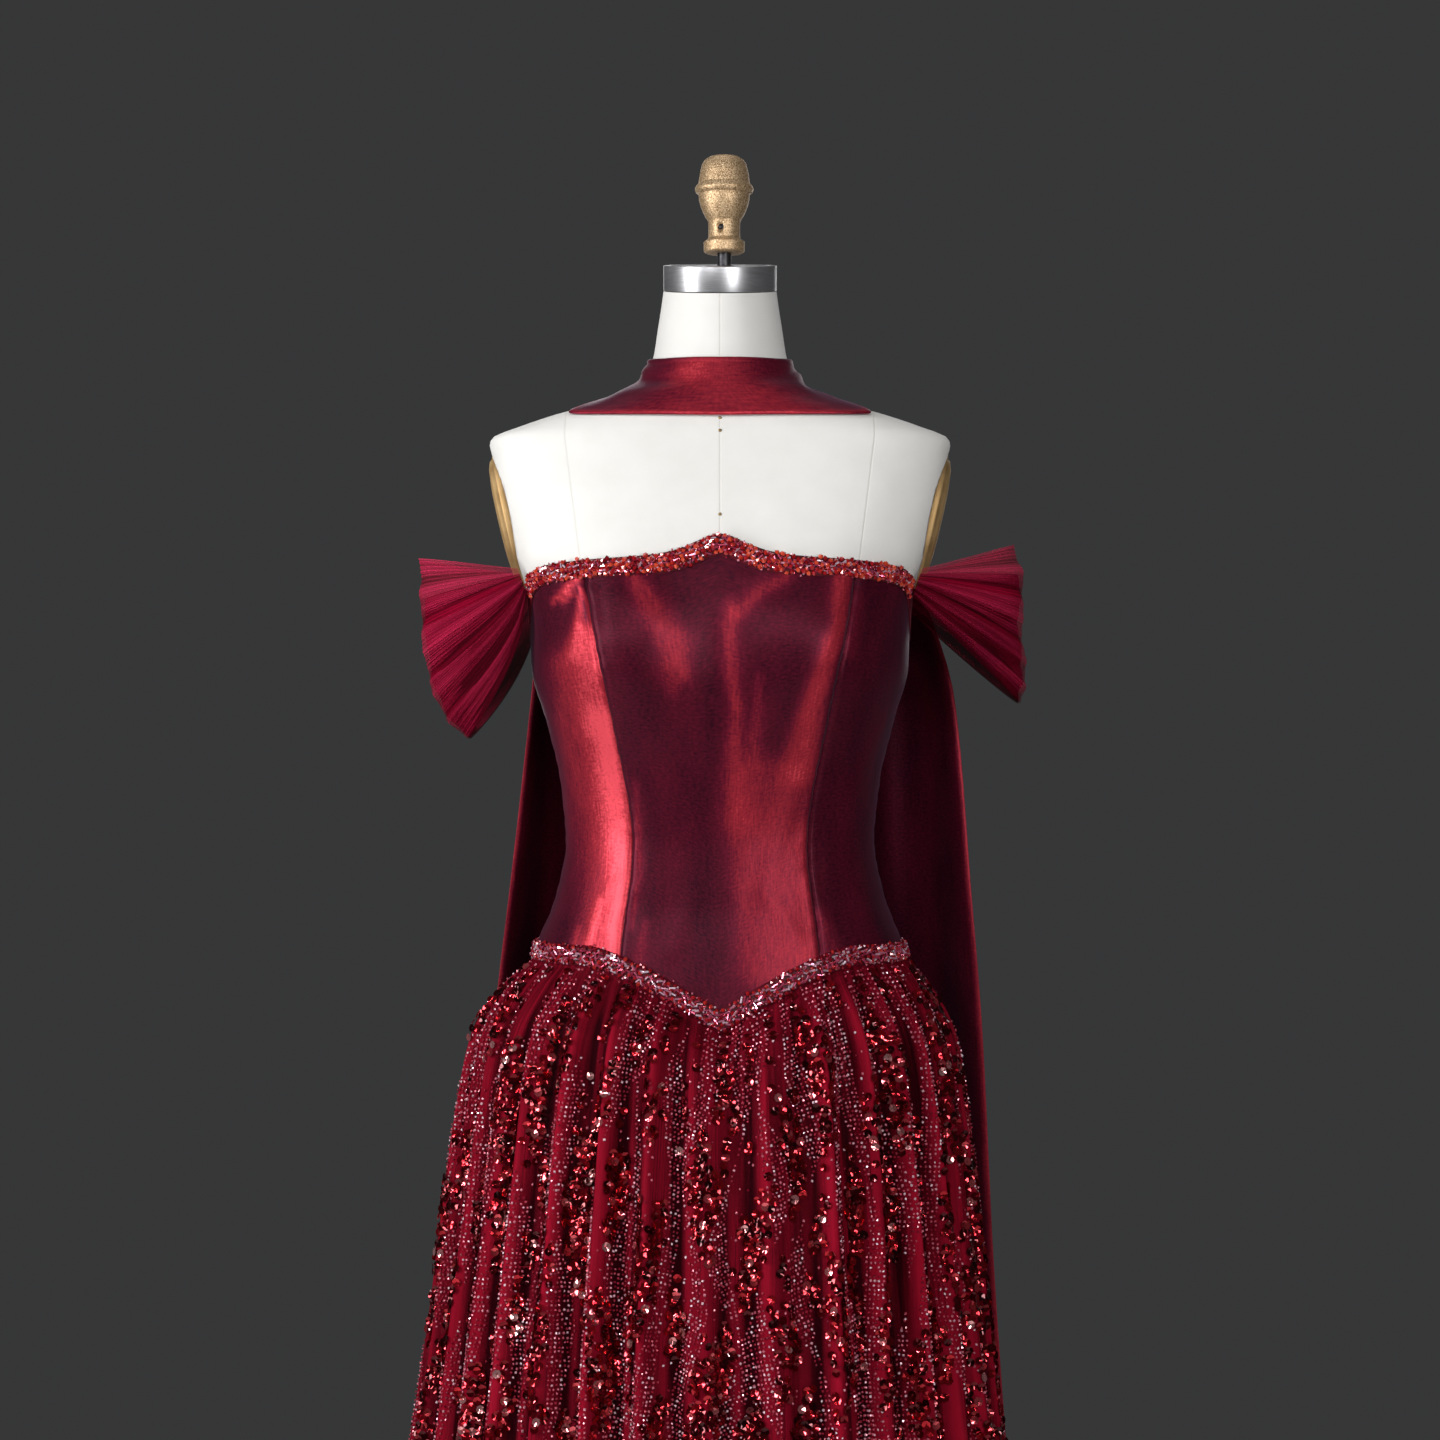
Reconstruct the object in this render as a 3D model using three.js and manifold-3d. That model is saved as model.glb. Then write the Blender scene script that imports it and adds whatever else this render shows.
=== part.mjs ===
// A strapless evening dress on a limbless dress form. Millimetres, +Z up, the front faces -Y, and +X is
// the viewer's right. The origin is on the floor, under the middle of the stand's pole.
import * as THREE from "three";
import { mergeVertices } from "three/addons/utils/BufferGeometryUtils.js";
import Module from "manifold-3d";

const wasm = await Module();
wasm.setup();

// Driving dimensions
const SEAM_GAP = 0.3;
const CLOTH_CLEAR = 1.2;
const BODICE_WALL = 1.9;
const SKIRT_WALL = 2;
const LINING_WALL = 1.2;
const SLEEVE_WALL = 1.2;
const SLEEVE_CLEAR = 1.1;
const SCARF_WALL = 1.5;
const SCARF_CLEAR = 2.4;
const TRIM_WALL = 2;
const TRIM_GAP = 0.4;
const WAIST_SEAM_GAP = 0.9;
const PLACKET = { halfWidth: 11, wall: 1.2, clear: 4 };
const NECKLINE_TRIM_WIDTH = 15;
const WAIST_TRIM_WIDTH = 17;
const BODICE_LENGTH = 330;
const HEM_HEIGHT = 14;
const LINING_HEM_HEIGHT = 45;
const FLUTES = 32;
const FACETS_PER_FLUTE = 5;
const BASE_RADIUS = 190;
const BASE_RIM_HEIGHT = 12;
const HUB_RADIUS = 26;
const HUB_HEIGHT = 45;
const POLE_RADIUS = 12.5;
const NECK_CAP = { radius: 48, height: 21.5, bevel: 1.5, bottom: 1514, centreY: -4, tilt: 10 };
const STUD = { radius: 6, bottom: 1522, top: 1551, centreX: 3.6 };
const KNOB = { bottom: 1546, holeRadius: 2.4, holeDepth: 7, holeHeight: 24, holeTurn: 20 };
const ARM_PLATE = {
  height: 59,
  depth: 46,
  dome: 9.5,
  sunk: 6,
  centreX: 178.5,
  centreY: 8,
  centreZ: 1326,
  lean: 13,
};

// The form's horizontal sections, from its flat bottom to its neck. Each is an oval with its own half width,
// depth to the front and to the back of the pole's axis, and squareness (2 is an ellipse).
const FORM_SECTIONS = [
  { z: 815, half: 168, front: 110, back: 118, square: 2.3 },
  { z: 850, half: 171, front: 113, back: 122, square: 2.3 },
  { z: 890, half: 168, front: 113, back: 121, square: 2.3 },
  { z: 930, half: 160, front: 109, back: 115, square: 2.3 },
  { z: 960, half: 152, front: 104, back: 107, square: 2.3 },
  { z: 1000, half: 136.5, front: 97, back: 93, square: 2.25 },
  { z: 1046, half: 127.5, front: 95, back: 85, square: 2.2 },
  { z: 1100, half: 132.5, front: 103, back: 88, square: 2.25 },
  { z: 1150, half: 144.5, front: 115, back: 95, square: 2.3 },
  { z: 1195, half: 156.5, front: 121, back: 100, square: 2.4 },
  { z: 1235, half: 158, front: 119, back: 104, square: 2.5 },
  { z: 1262, half: 164, front: 114, back: 106, square: 2.7 },
  { z: 1290, half: 174.5, front: 107, back: 106, square: 2.9 },
  { z: 1337, half: 187, front: 95, back: 104, square: 3.0 },
  { z: 1372, half: 193.5, front: 84, back: 98, square: 3.0 },
  { z: 1388, half: 184, front: 79, back: 93, square: 3.0 },
  { z: 1405, half: 147, front: 72, back: 87, square: 2.9 },
  { z: 1420, half: 97, front: 66, back: 79, square: 2.5 },
  { z: 1434, half: 68, front: 61, back: 70, square: 2.2 },
  { z: 1456, half: 56.5, front: 56, back: 60, square: 2.0 },
  { z: 1481, half: 54.5, front: 54, back: 52, square: 2.0 },
  { z: 1514, half: 48, front: 52, back: 44, square: 2.0 },
  { z: 1535, half: 46, front: 50, back: 42, square: 2.0 },
];
const BUST = { rise: 20, out: 88, wide: 52, height: 1210, above: 48, below: 62 };

// Half width between the two front seams of the bodice, at each height.
const FRONT_SEAMS = [
  { z: 900, half: 84 },
  { z: 960, half: 80 },
  { z: 1046, half: 71 },
  { z: 1150, half: 87 },
  { z: 1210, half: 99 },
  { z: 1270, half: 109 },
  { z: 1300, half: 112 },
];

// The skirt's sections. The skirt hangs a little to the viewer's left, by shift.
const SKIRT_SECTIONS = [
  { z: 0, half: 318, front: 300, back: 332, shift: -9 },
  { z: 300, half: 276, front: 256, back: 283, shift: -9 },
  { z: 546, half: 239, front: 213, back: 236, shift: -7.5 },
  { z: 665, half: 227, front: 191, back: 212, shift: -6.5 },
  { z: 767, half: 216, front: 174, back: 194, shift: -5 },
  { z: 827, half: 208.5, front: 164, back: 183, shift: -4.5 },
  { z: 875, half: 201, front: 156, back: 172, shift: -4 },
  { z: 899, half: 194, front: 150, back: 164, shift: -4 },
  { z: 925, half: 182, front: 142, back: 154, shift: -3 },
  { z: 960, half: 166, front: 128, back: 138, shift: -2 },
];
const SKIRT_SQUARE = 2.1;
const PUFF_DROP = 15;
const LINING_PUFF_DROP = 34;

// How far the flutes stand out at each distance down from the waist seam, and where the skirt's rings are.
const FLUTE_DEPTH = [
  { drop: 0, out: 0 },
  { drop: 10, out: 0 },
  { drop: 30, out: 4.5 },
  { drop: 75, out: 7.5 },
  { drop: 190, out: 10 },
  { drop: 470, out: 13 },
  { drop: 940, out: 19 },
];

// Each sleeve is a swag of pleated net from the front of the neckline round the arm's place to the back. Its
// outermost line, from its upper to its lower edge, and how fast each pleat falls to that line from its root.
const SLEEVES = {
  left: {
    side: -1,
    outermost: [
      { v: 0, x: 255, z: 1287, fall: 1 },
      { v: 0.3, x: 249, z: 1236, fall: 0.9 },
      { v: 0.6, x: 244, z: 1188, fall: 0.75 },
      { v: 0.85, x: 228, z: 1152, fall: 0.6 },
      { v: 1, x: 209, z: 1135, fall: 0.5 },
    ],
  },
  right: {
    side: 1,
    outermost: [
      { v: 0, x: 249, z: 1299, fall: 1 },
      { v: 0.25, x: 258, z: 1267, fall: 1 },
      { v: 0.5, x: 257, z: 1232, fall: 1 },
      { v: 0.8, x: 260, z: 1188, fall: 0.9 },
      { v: 1, x: 256, z: 1164, fall: 0.85 },
    ],
  },
};
const SLEEVE_ROOT = { top: 1276, bottom: 1254, front: -54, back: 58 };
const SLEEVE_PLEATS = 5;
const SLEEVE_PLEAT_DEPTH = 4;

// The scarf's band round the front of the neck: the heights of its two edges at each turn from the front.
const SCARF_BAND = [
  { turn: 0, inner: 1451, outer: 1400.5 },
  { turn: 45, inner: 1452, outer: 1404 },
  { turn: 90, inner: 1455, outer: 1421 },
  { turn: 120, inner: 1450, outer: 1413 },
  { turn: 140, inner: 1444, outer: 1405 },
];
const SCARF_BAND_END = 140;

// The scarf's two ends hang down the back. Each row is one section from its inner edge to its outer edge.
const TAILS = {
  right: [
    { t: 0.03, zIn: 1434, zOut: 1394, xIn: 42, xOut: 126, yIn: 84, yOut: 88, bow: 1.6 },
    { t: 0.06, zIn: 1402, zOut: 1372, xIn: 42, xOut: 142, yIn: 108, yOut: 97, bow: 2.2 },
    { t: 0.13, zIn: 1300, zOut: 1290, xIn: 36, xOut: 168, yIn: 124, yOut: 98, bow: 2.5 },
    { t: 0.21, zIn: 1170, zOut: 1167, xIn: 26, xOut: 206, yIn: 134, yOut: 96, bow: 2.5 },
    { t: 0.33, zIn: 997, zOut: 997, xIn: 18, xOut: 220, yIn: 158, yOut: 92, bow: 2.5 },
    { t: 0.41, zIn: 875, zOut: 875, xIn: 16, xOut: 230, yIn: 192, yOut: 98, bow: 2.5 },
    { t: 0.55, zIn: 665, zOut: 665, xIn: 15, xOut: 241, yIn: 241, yOut: 108, bow: 2.5 },
    { t: 0.8, zIn: 300, zOut: 300, xIn: 15, xOut: 270, yIn: 322, yOut: 134, bow: 2.5 },
    { t: 1, zIn: 64, zOut: 76, xIn: 16, xOut: 290, yIn: 369, yOut: 158, bow: 2.5 },
  ],
  left: [
    { t: 0.03, zIn: 1434, zOut: 1394, xIn: 42, xOut: 126, yIn: 84, yOut: 88, bow: 1.6 },
    { t: 0.06, zIn: 1402, zOut: 1372, xIn: 42, xOut: 140, yIn: 108, yOut: 97, bow: 2.2 },
    { t: 0.13, zIn: 1300, zOut: 1290, xIn: 36, xOut: 154, yIn: 124, yOut: 100, bow: 2.5 },
    { t: 0.21, zIn: 1170, zOut: 1167, xIn: 26, xOut: 166, yIn: 134, yOut: 98, bow: 2.5 },
    { t: 0.33, zIn: 997, zOut: 997, xIn: 18, xOut: 185, yIn: 158, yOut: 100, bow: 2.5 },
    { t: 0.41, zIn: 875, zOut: 875, xIn: 16, xOut: 201, yIn: 192, yOut: 126, bow: 2.5 },
    { t: 0.55, zIn: 665, zOut: 665, xIn: 15, xOut: 221, yIn: 241, yOut: 164, bow: 2.5 },
    { t: 0.8, zIn: 300, zOut: 300, xIn: 15, xOut: 245, yIn: 322, yOut: 226, bow: 2.5 },
    { t: 1, zIn: 70, zOut: 60, xIn: 16, xOut: 262, yIn: 369, yOut: 274, bow: 2.5 },
  ],
};
const TAIL_FOLDS = 3;
const TAIL_FOLD_DEPTH = 7;

// The knob's outline, up from its bottom.
const KNOB_OUTLINE = [
  { up: 0, r: 15.5 },
  { up: 1.5, r: 17.3 },
  { up: 9.5, r: 17.5 },
  { up: 11.5, r: 14.4 },
  { up: 13, r: 13.5 },
  { up: 27, r: 13.6 },
  { up: 30, r: 15.5 },
  { up: 34, r: 17.8 },
  { up: 39.5, r: 20 },
  { up: 45, r: 21.4 },
  { up: 50, r: 21.8 },
  { up: 51.5, r: 24 },
  { up: 54, r: 25 },
  { up: 56.5, r: 24.2 },
  { up: 59, r: 22 },
  { up: 68, r: 20.6 },
  { up: 75, r: 19 },
  { up: 79, r: 16.6 },
  { up: 81.8, r: 12 },
  { up: 83, r: 6 },
];

const TURN = 2 * Math.PI;
const radians = (degrees) => (degrees * Math.PI) / 180;
const mix = (a, b, share) => a + (b - a) * share;
const clamp = (x) => Math.min(1, Math.max(0, x));
const smooth = (x) => clamp(x) * clamp(x) * (3 - 2 * clamp(x));

// A smooth curve through one column of a table, looked up by its key column.
function read(table, key, column, at) {
  const last = table.length - 1;
  const x = Math.min(Math.max(at, table[0][key]), table[last][key]);
  let i = 0;
  while (i < last - 1 && x > table[i + 1][key]) i += 1;
  const slope = (k) => (table[k + 1][column] - table[k][column]) / (table[k + 1][key] - table[k][key]);
  const tangent = (k) => {
    if (k === 0 || k === last) return slope(Math.min(k, last - 1));
    return slope(k - 1) * slope(k) <= 0 ? 0 : (2 * slope(k - 1) * slope(k)) / (slope(k - 1) + slope(k));
  };
  const step = table[i + 1][key] - table[i][key];
  const s = (x - table[i][key]) / step;
  const [s2, s3] = [s * s, s * s * s];
  return (
    (2 * s3 - 3 * s2 + 1) * table[i][column] +
    (s3 - 2 * s2 + s) * step * tangent(i) +
    (3 * s2 - 2 * s3) * table[i + 1][column] +
    (s3 - s2) * step * tangent(i + 1)
  );
}

// A point of an oval section. angle is the oval's own angle: 0 at +X, a quarter turn at the back.
function oval(angle, half, front, back, square) {
  const power = 2 / square;
  const [c, s] = [Math.cos(angle), Math.sin(angle)];
  const x = half * Math.sign(c) * Math.abs(c) ** power;
  const y = (s < 0 ? front : back) * Math.sign(s) * Math.abs(s) ** power;
  return [x, y];
}

// The form's surface, moved out.
function formPoint(angle, z, out) {
  const at = (column) => read(FORM_SECTIONS, "z", column, z);
  const [x, y] = oval(angle, at("half") + out, at("front") + out, at("back") + out, at("square"));
  const tall = z > BUST.height ? BUST.above : BUST.below;
  const across = (Math.abs(x) - BUST.out) / BUST.wide;
  const bust = y < 0 ? BUST.rise * Math.exp(-across * across - ((z - BUST.height) / tall) ** 2) : 0;
  const fade = clamp(-Math.sin(angle) * 2.5);
  return [x, y - bust * fade, z];
}

// Heights of the bodice's two edges at an angle: a small peak at the front of the neckline and a dip under
// each arm, and a point at the front of the waist.
function necklineHeight(angle) {
  const [x] = oval(angle, 172, 110, 106, 2.7);
  const level = 1278 - 6 * Math.sin(angle) - 5 * (x / 150) ** 2;
  const peak = Math.sin(angle) < 0 ? 18 * Math.exp(-((Math.abs(x) / 34) ** 1.5)) : 0;
  const underArm = 42 * Math.exp(-((Math.sin(angle) / 0.3) ** 2));
  return level + peak - underArm;
}
function waistHeight(angle) {
  const [x] = oval(angle, 158, 107, 111, 2.3);
  const share = clamp(1 - Math.abs(x) / 112);
  return Math.sin(angle) < 0 ? 965 - 52 * share ** 1.45 : 965 - 14 * share ** 2;
}
const seamHeight = (angle) => waistHeight(angle) - WAIST_TRIM_WIDTH / 2;

// The bodice's panels, as spans of the columns that run round the body from its right side, and its rows.
const PANELS = [
  { name: "bodice_back_right", from: 0, to: 9 },
  { name: "bodice_back_left", from: 9, to: 18 },
  { name: "bodice_side_front_left", from: 18, to: 24 },
  { name: "bodice_front_centre", from: 24, to: 34 },
  { name: "bodice_side_front_right", from: 34, to: 40 },
];
const COLUMNS = 40;
const NECKLINE_TRIM_SHARE = NECKLINE_TRIM_WIDTH / BODICE_LENGTH;
const WAIST_TRIM_SHARE = WAIST_TRIM_WIDTH / 2 / BODICE_LENGTH;
const MIDDLE_ROWS = [0.1, 0.15, 0.2, 0.25, 0.3, 0.37, 0.45, 0.54, 0.63, 0.72, 0.81, 0.9];
const BODICE_ROWS = [0, NECKLINE_TRIM_SHARE, ...MIDDLE_ROWS, 1 - WAIST_TRIM_SHARE, 1];

// The angle of a column at a height. The front panels' columns follow the princess seams.
function columnAngle(column, height) {
  const z = Math.min(Math.max(height, 900), 1290);
  const share = read(FRONT_SEAMS, "z", "half", z) / (read(FORM_SECTIONS, "z", "half", z) + CLOTH_CLEAR);
  const seam = Math.acos(share ** (read(FORM_SECTIONS, "z", "square", z) / 2));
  const ends = [0, Math.PI / 2, Math.PI, Math.PI + seam, TURN - seam, TURN];
  const i = PANELS.findIndex((panel) => column <= panel.to);
  const { from, to } = PANELS[i];
  return mix(ends[i], ends[i + 1], (column - from) / (to - from));
}

// A point of the bodice, v of the way from its neckline to its waist seam, out from the form.
function bodicePoint(column, v, out) {
  const near = columnAngle(column, 1100);
  const angle = columnAngle(column, mix(necklineHeight(near), seamHeight(near), v));
  return formPoint(angle, mix(necklineHeight(angle), seamHeight(angle), v), out);
}

// A closed wall between two grids of points. at(u, v, side) gives its outer (side 1) and inner (side 0)
// points. u runs round to the left seen from above, and v runs down. A ring joins its last column to its
// first.
function wall(at, us, vs, ring = false) {
  const [cols, rows] = [us.length, vs.length];
  const positions = [];
  for (const side of [1, 0]) for (const v of vs) for (const u of us) positions.push(...at(u, v, side));
  const id = (i, j, side) => (side ? 0 : cols * rows) + j * cols + (i % cols);
  const faces = [];
  const quad = (a, b, c, d) => faces.push(a, b, c, a, c, d);
  const spans = ring ? cols : cols - 1;
  for (let j = 0; j < rows - 1; j += 1) {
    for (let i = 0; i < spans; i += 1) {
      quad(id(i, j, 1), id(i, j + 1, 1), id(i + 1, j + 1, 1), id(i + 1, j, 1));
      quad(id(i, j, 0), id(i + 1, j, 0), id(i + 1, j + 1, 0), id(i, j + 1, 0));
    }
  }
  for (let i = 0; i < spans; i += 1) {
    quad(id(i, 0, 0), id(i, 0, 1), id(i + 1, 0, 1), id(i + 1, 0, 0));
    quad(id(i, rows - 1, 1), id(i, rows - 1, 0), id(i + 1, rows - 1, 0), id(i + 1, rows - 1, 1));
  }
  for (let j = 0; !ring && j < rows - 1; j += 1) {
    quad(id(0, j, 0), id(0, j + 1, 0), id(0, j + 1, 1), id(0, j, 1));
    quad(id(cols - 1, j, 1), id(cols - 1, j + 1, 1), id(cols - 1, j + 1, 0), id(cols - 1, j, 0));
  }
  return geometryOf(positions, faces);
}

function geometryOf(positions, faces) {
  const geometry = new THREE.BufferGeometry();
  geometry.setAttribute("position", new THREE.Float32BufferAttribute(positions, 3));
  geometry.setIndex(faces);
  return geometry;
}

// Evenly spaced numbers from one value to another, both ends included.
const steps = (from, to, count) => Array.from({ length: count + 1 }, (_, i) => mix(from, to, i / count));
const around = (count) => Array.from({ length: count }, (_, i) => (i * TURN) / count);

function solidOf(geometry) {
  const bare = geometry.clone();
  bare.deleteAttribute("normal");
  bare.deleteAttribute("uv");
  const merged = mergeVertices(bare, 1e-3);
  return new wasm.Manifold(
    new wasm.Mesh({
      numProp: 3,
      vertProperties: merged.attributes.position.array,
      triVerts: new Uint32Array(merged.index.array),
    }),
  );
}

function geometryFrom(solid) {
  const mesh = solid.getMesh();
  return geometryOf(Array.from(mesh.vertProperties), Array.from(mesh.triVerts));
}

const LOOKS = {
  linen: { color: 0xe9e6df, roughness: 0.8, metalness: 0 },
  steel: { color: 0x8b8b90, roughness: 0.3, metalness: 1 },
  brass: { color: 0xb08a4c, roughness: 0.5, metalness: 0.8 },
  iron: { color: 0x2a2a2c, roughness: 0.6, metalness: 0.6 },
  taffeta: { color: 0x7a1424, roughness: 0.4, metalness: 0.3 },
  net: { color: 0x8c0a2a, roughness: 0.6, metalness: 0 },
  lining: { color: 0x4a0414, roughness: 0.5, metalness: 0 },
  beads: { color: 0xa82c34, roughness: 0.2, metalness: 0.2 },
};

const dress = new THREE.Group();
function add(name, geometry, look, parent = dress) {
  const mesh = new THREE.Mesh(geometry, new THREE.MeshStandardMaterial(LOOKS[look]));
  mesh.name = name;
  parent.add(mesh);
  return mesh;
}

// The dress form: a linen torso, two arm plates, a neck cap with its stud and knob, and the stand.
function latheZ(points, segments) {
  const geometry = new THREE.LatheGeometry(points.map(([r, z]) => new THREE.Vector2(r, z)), segments);
  return geometry.rotateX(Math.PI / 2);
}

function armPlateGeometry(side, grow, inward) {
  const { height, depth, dome, lean, centreX, centreY, centreZ } = ARM_PLATE;
  const outline = [
    [0, -inward],
    [1, -inward],
    [1, 2],
    [0.9, dome * 0.62],
    [0.62, dome * 0.92],
    [0, dome],
  ];
  const plate = latheZ(outline.map(([r, x]) => [r, x + grow]), 24).rotateY(Math.PI / 2);
  plate.scale(1, depth + grow, height + grow);
  plate.rotateY(radians(lean)).translate(centreX, 0, centreZ);
  if (side < 0) plate.rotateZ(Math.PI);
  return plate.translate(0, centreY, 0);
}

function addForm() {
  const tops = [1535, 1514, 1481, 1460, 1450, 1441, 1433, 1425, 1416, 1405, 1392, 1380, 1362, 1330];
  const bottom = FORM_SECTIONS[0].z;
  const columns = steps(0, COLUMNS - 1, COLUMNS - 1);
  const rings = [
    ...tops.map((z) => columns.map((column) => formPoint(columnAngle(column, z), z, 0))),
    ...BODICE_ROWS.map((v) => columns.map((column) => bodicePoint(column, v, 0))),
    ...[0.3, 0.65, 1].map((v) =>
      columns.map((column) => {
        const angle = columnAngle(column, bottom);
        return formPoint(angle, mix(seamHeight(angle), bottom, v), 0);
      }),
    ),
  ];
  const positions = rings.flat(2);
  const faces = [];
  for (let j = 0; j < rings.length - 1; j += 1) {
    for (let i = 0; i < COLUMNS; i += 1) {
      const [a, b] = [j * COLUMNS + i, j * COLUMNS + ((i + 1) % COLUMNS)];
      faces.push(a, a + COLUMNS, b + COLUMNS, a, b + COLUMNS, b);
    }
  }
  const [topId, bottomId] = [positions.length / 3, positions.length / 3 + 1];
  positions.push(0, 0, tops[0], 0, 0, bottom);
  const low = (rings.length - 1) * COLUMNS;
  for (let i = 0; i < COLUMNS; i += 1) {
    faces.push(topId, i, (i + 1) % COLUMNS);
    faces.push(bottomId, low + ((i + 1) % COLUMNS), low + i);
  }
  let torso = solidOf(geometryOf(positions, faces));
  const pocket = ARM_PLATE.sunk + 2 * SEAM_GAP;
  for (const side of [-1, 1]) torso = torso.subtract(solidOf(armPlateGeometry(side, SEAM_GAP, pocket)));
  const slant = new THREE.BoxGeometry(200, 200, 100).translate(0, 0, 50 - SEAM_GAP);
  slant.rotateX(radians(NECK_CAP.tilt)).translate(0, NECK_CAP.centreY, NECK_CAP.bottom);
  torso = torso.subtract(solidOf(slant));
  add("form_torso", geometryFrom(torso), "linen");

  for (const [name, side] of [["left", -1], ["right", 1]]) {
    add("form_arm_plate_" + name, armPlateGeometry(side, 0, ARM_PLATE.sunk), "brass");
  }
}

function addNeckCap() {
  const { radius, height, bevel, bottom, centreY, tilt } = NECK_CAP;
  const outline = [
    [0, 0],
    [radius, 0],
    [radius, height - bevel],
    [radius - bevel, height],
    [0, height],
  ];
  const cap = latheZ(outline, 36).rotateX(radians(tilt)).translate(0, centreY, bottom);
  const studHole = new THREE.CylinderGeometry(STUD.radius + SEAM_GAP, STUD.radius + SEAM_GAP, 60, 20);
  studHole.rotateX(Math.PI / 2).translate(STUD.centreX, centreY, STUD.bottom - SEAM_GAP + 30);
  add("form_neck_cap", geometryFrom(solidOf(cap).subtract(solidOf(studHole))), "steel");

  const studLength = STUD.top - STUD.bottom;
  const stud = new THREE.CylinderGeometry(STUD.radius, STUD.radius, studLength, 20).rotateX(Math.PI / 2);
  add("form_neck_stud", stud.translate(STUD.centreX, centreY, STUD.bottom + studLength / 2), "iron");

  const profile = KNOB_OUTLINE.map(({ up, r }) => [r, up]);
  const knob = latheZ([[0, 0], ...profile, [0, 83.4]], 20).translate(STUD.centreX, centreY, KNOB.bottom);
  const socket = studHole.clone().translate(0, 0, STUD.top + SEAM_GAP - (STUD.bottom - SEAM_GAP + 60));
  const pinHole = new THREE.CylinderGeometry(KNOB.holeRadius, KNOB.holeRadius, 20, 12);
  pinHole.translate(0, -10 - 13.6 + KNOB.holeDepth, 0).rotateZ(radians(-KNOB.holeTurn));
  pinHole.translate(STUD.centreX, centreY, KNOB.bottom + KNOB.holeHeight);
  const turned = solidOf(knob).subtract(solidOf(socket)).subtract(solidOf(pinHole));
  add("form_neck_knob", geometryFrom(turned), "brass");
}

function addStand() {
  const base = [
    [0, 0],
    [BASE_RADIUS, 0],
    [BASE_RADIUS, BASE_RIM_HEIGHT],
    [BASE_RADIUS - 30, BASE_RIM_HEIGHT + 6],
    [HUB_RADIUS + 8, BASE_RIM_HEIGHT + 12],
    [HUB_RADIUS, HUB_HEIGHT],
    [0, HUB_HEIGHT],
  ];
  add("stand_base", latheZ(base, 36), "iron");
  const [low, high] = [HUB_HEIGHT + SEAM_GAP, FORM_SECTIONS[0].z - SEAM_GAP];
  const pole = new THREE.CylinderGeometry(POLE_RADIUS, POLE_RADIUS, high - low, 20).rotateX(Math.PI / 2);
  add("stand_pole", pole.translate(0, 0, (low + high) / 2), "steel");
}

// The bodice: panels between seams, each a wall just clear of the form.
function towards(point, other, distance) {
  const [p, q] = [new THREE.Vector3(...point), new THREE.Vector3(...other)];
  return p.add(q.sub(p).setLength(distance)).toArray();
}

function addBodice() {
  for (const { name, from, to } of PANELS) {
    const point = (column, v, side) => {
      const out = CLOTH_CLEAR + side * BODICE_WALL;
      const p = bodicePoint(column, v, out);
      if (column === from) return towards(p, bodicePoint(column + 1, v, out), SEAM_GAP / 2);
      if (column === to) return towards(p, bodicePoint(column - 1, v, out), SEAM_GAP / 2);
      return p;
    };
    add(name, wall(point, steps(from, to, to - from), BODICE_ROWS), "taffeta");
  }

  // The lapped strip over the fastening at the middle of the back.
  const end = PLACKET.clear / BODICE_LENGTH;
  const rows = [NECKLINE_TRIM_SHARE + end, ...MIDDLE_ROWS, 1 - WAIST_TRIM_SHARE - end];
  const lap = (u, v, side) => {
    const out = CLOTH_CLEAR + BODICE_WALL + SEAM_GAP + side * PLACKET.wall;
    const [, y, z] = bodicePoint(PANELS[0].to, v, out);
    return [-u * PLACKET.halfWidth, y, z];
  };
  add("bodice_back_placket", wall(lap, [-1, 0, 1], rows), "taffeta");
}

// The beaded bands over the neckline and over the waist seam, made from the bodice's points, moved out.
function addTrims() {
  const columns = steps(0, COLUMNS - 1, COLUMNS - 1);
  const lowest = CLOTH_CLEAR + BODICE_WALL + TRIM_GAP;
  const band = (column, v, side) => bodicePoint(column, v, lowest + side * TRIM_WALL);
  add("neckline_trim", wall(band, columns, [0, NECKLINE_TRIM_SHARE], true), "beads");
  const [above, below] = [1 - WAIST_TRIM_SHARE, 1 + WAIST_TRIM_SHARE];
  add("waist_trim", wall(band, columns, [above, 1, below], true), "beads");
}

// The skirt: gathered onto the waist seam, with flutes that deepen towards the hem.
function flutes(angle, z) {
  const bunching = 0.9 * Math.sin(3 * angle + 1.3) + 0.6 * Math.sin(7 * angle + 0.4);
  const sway = bunching + 0.35 * Math.sin(2 * angle + z / 260);
  const uneven = 0.72 + 0.28 * Math.cos(5 * angle + 2.1 + z / 420);
  const phase = FLUTES * angle + sway;
  return uneven * (Math.cos(phase) + 0.2 * Math.cos(2 * phase));
}

function skirtPoint(angle, drop, out) {
  const z = seamHeight(angle) - WAIST_SEAM_GAP - drop;
  const at = (column) => read(SKIRT_SECTIONS, "z", column, z);
  const [wideX, wideY] = oval(angle, at("half"), at("front"), at("back"), SKIRT_SQUARE);
  const hip = CLOTH_CLEAR + BODICE_WALL - SEAM_GAP;
  const [hipX, hipY] = formPoint(angle, Math.max(z, FORM_SECTIONS[0].z), hip);
  const puff = 1 - Math.exp(-Math.max(0, drop - FLUTE_DEPTH[1].drop) / PUFF_DROP);
  const x = mix(hipX, wideX + at("shift"), puff);
  const y = mix(hipY, wideY, puff);
  const push = out + read(FLUTE_DEPTH, "drop", "out", drop) * flutes(angle, z);
  const length = Math.hypot(x, y);
  return [x + (push * x) / length, y + (push * y) / length, z];
}

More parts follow.
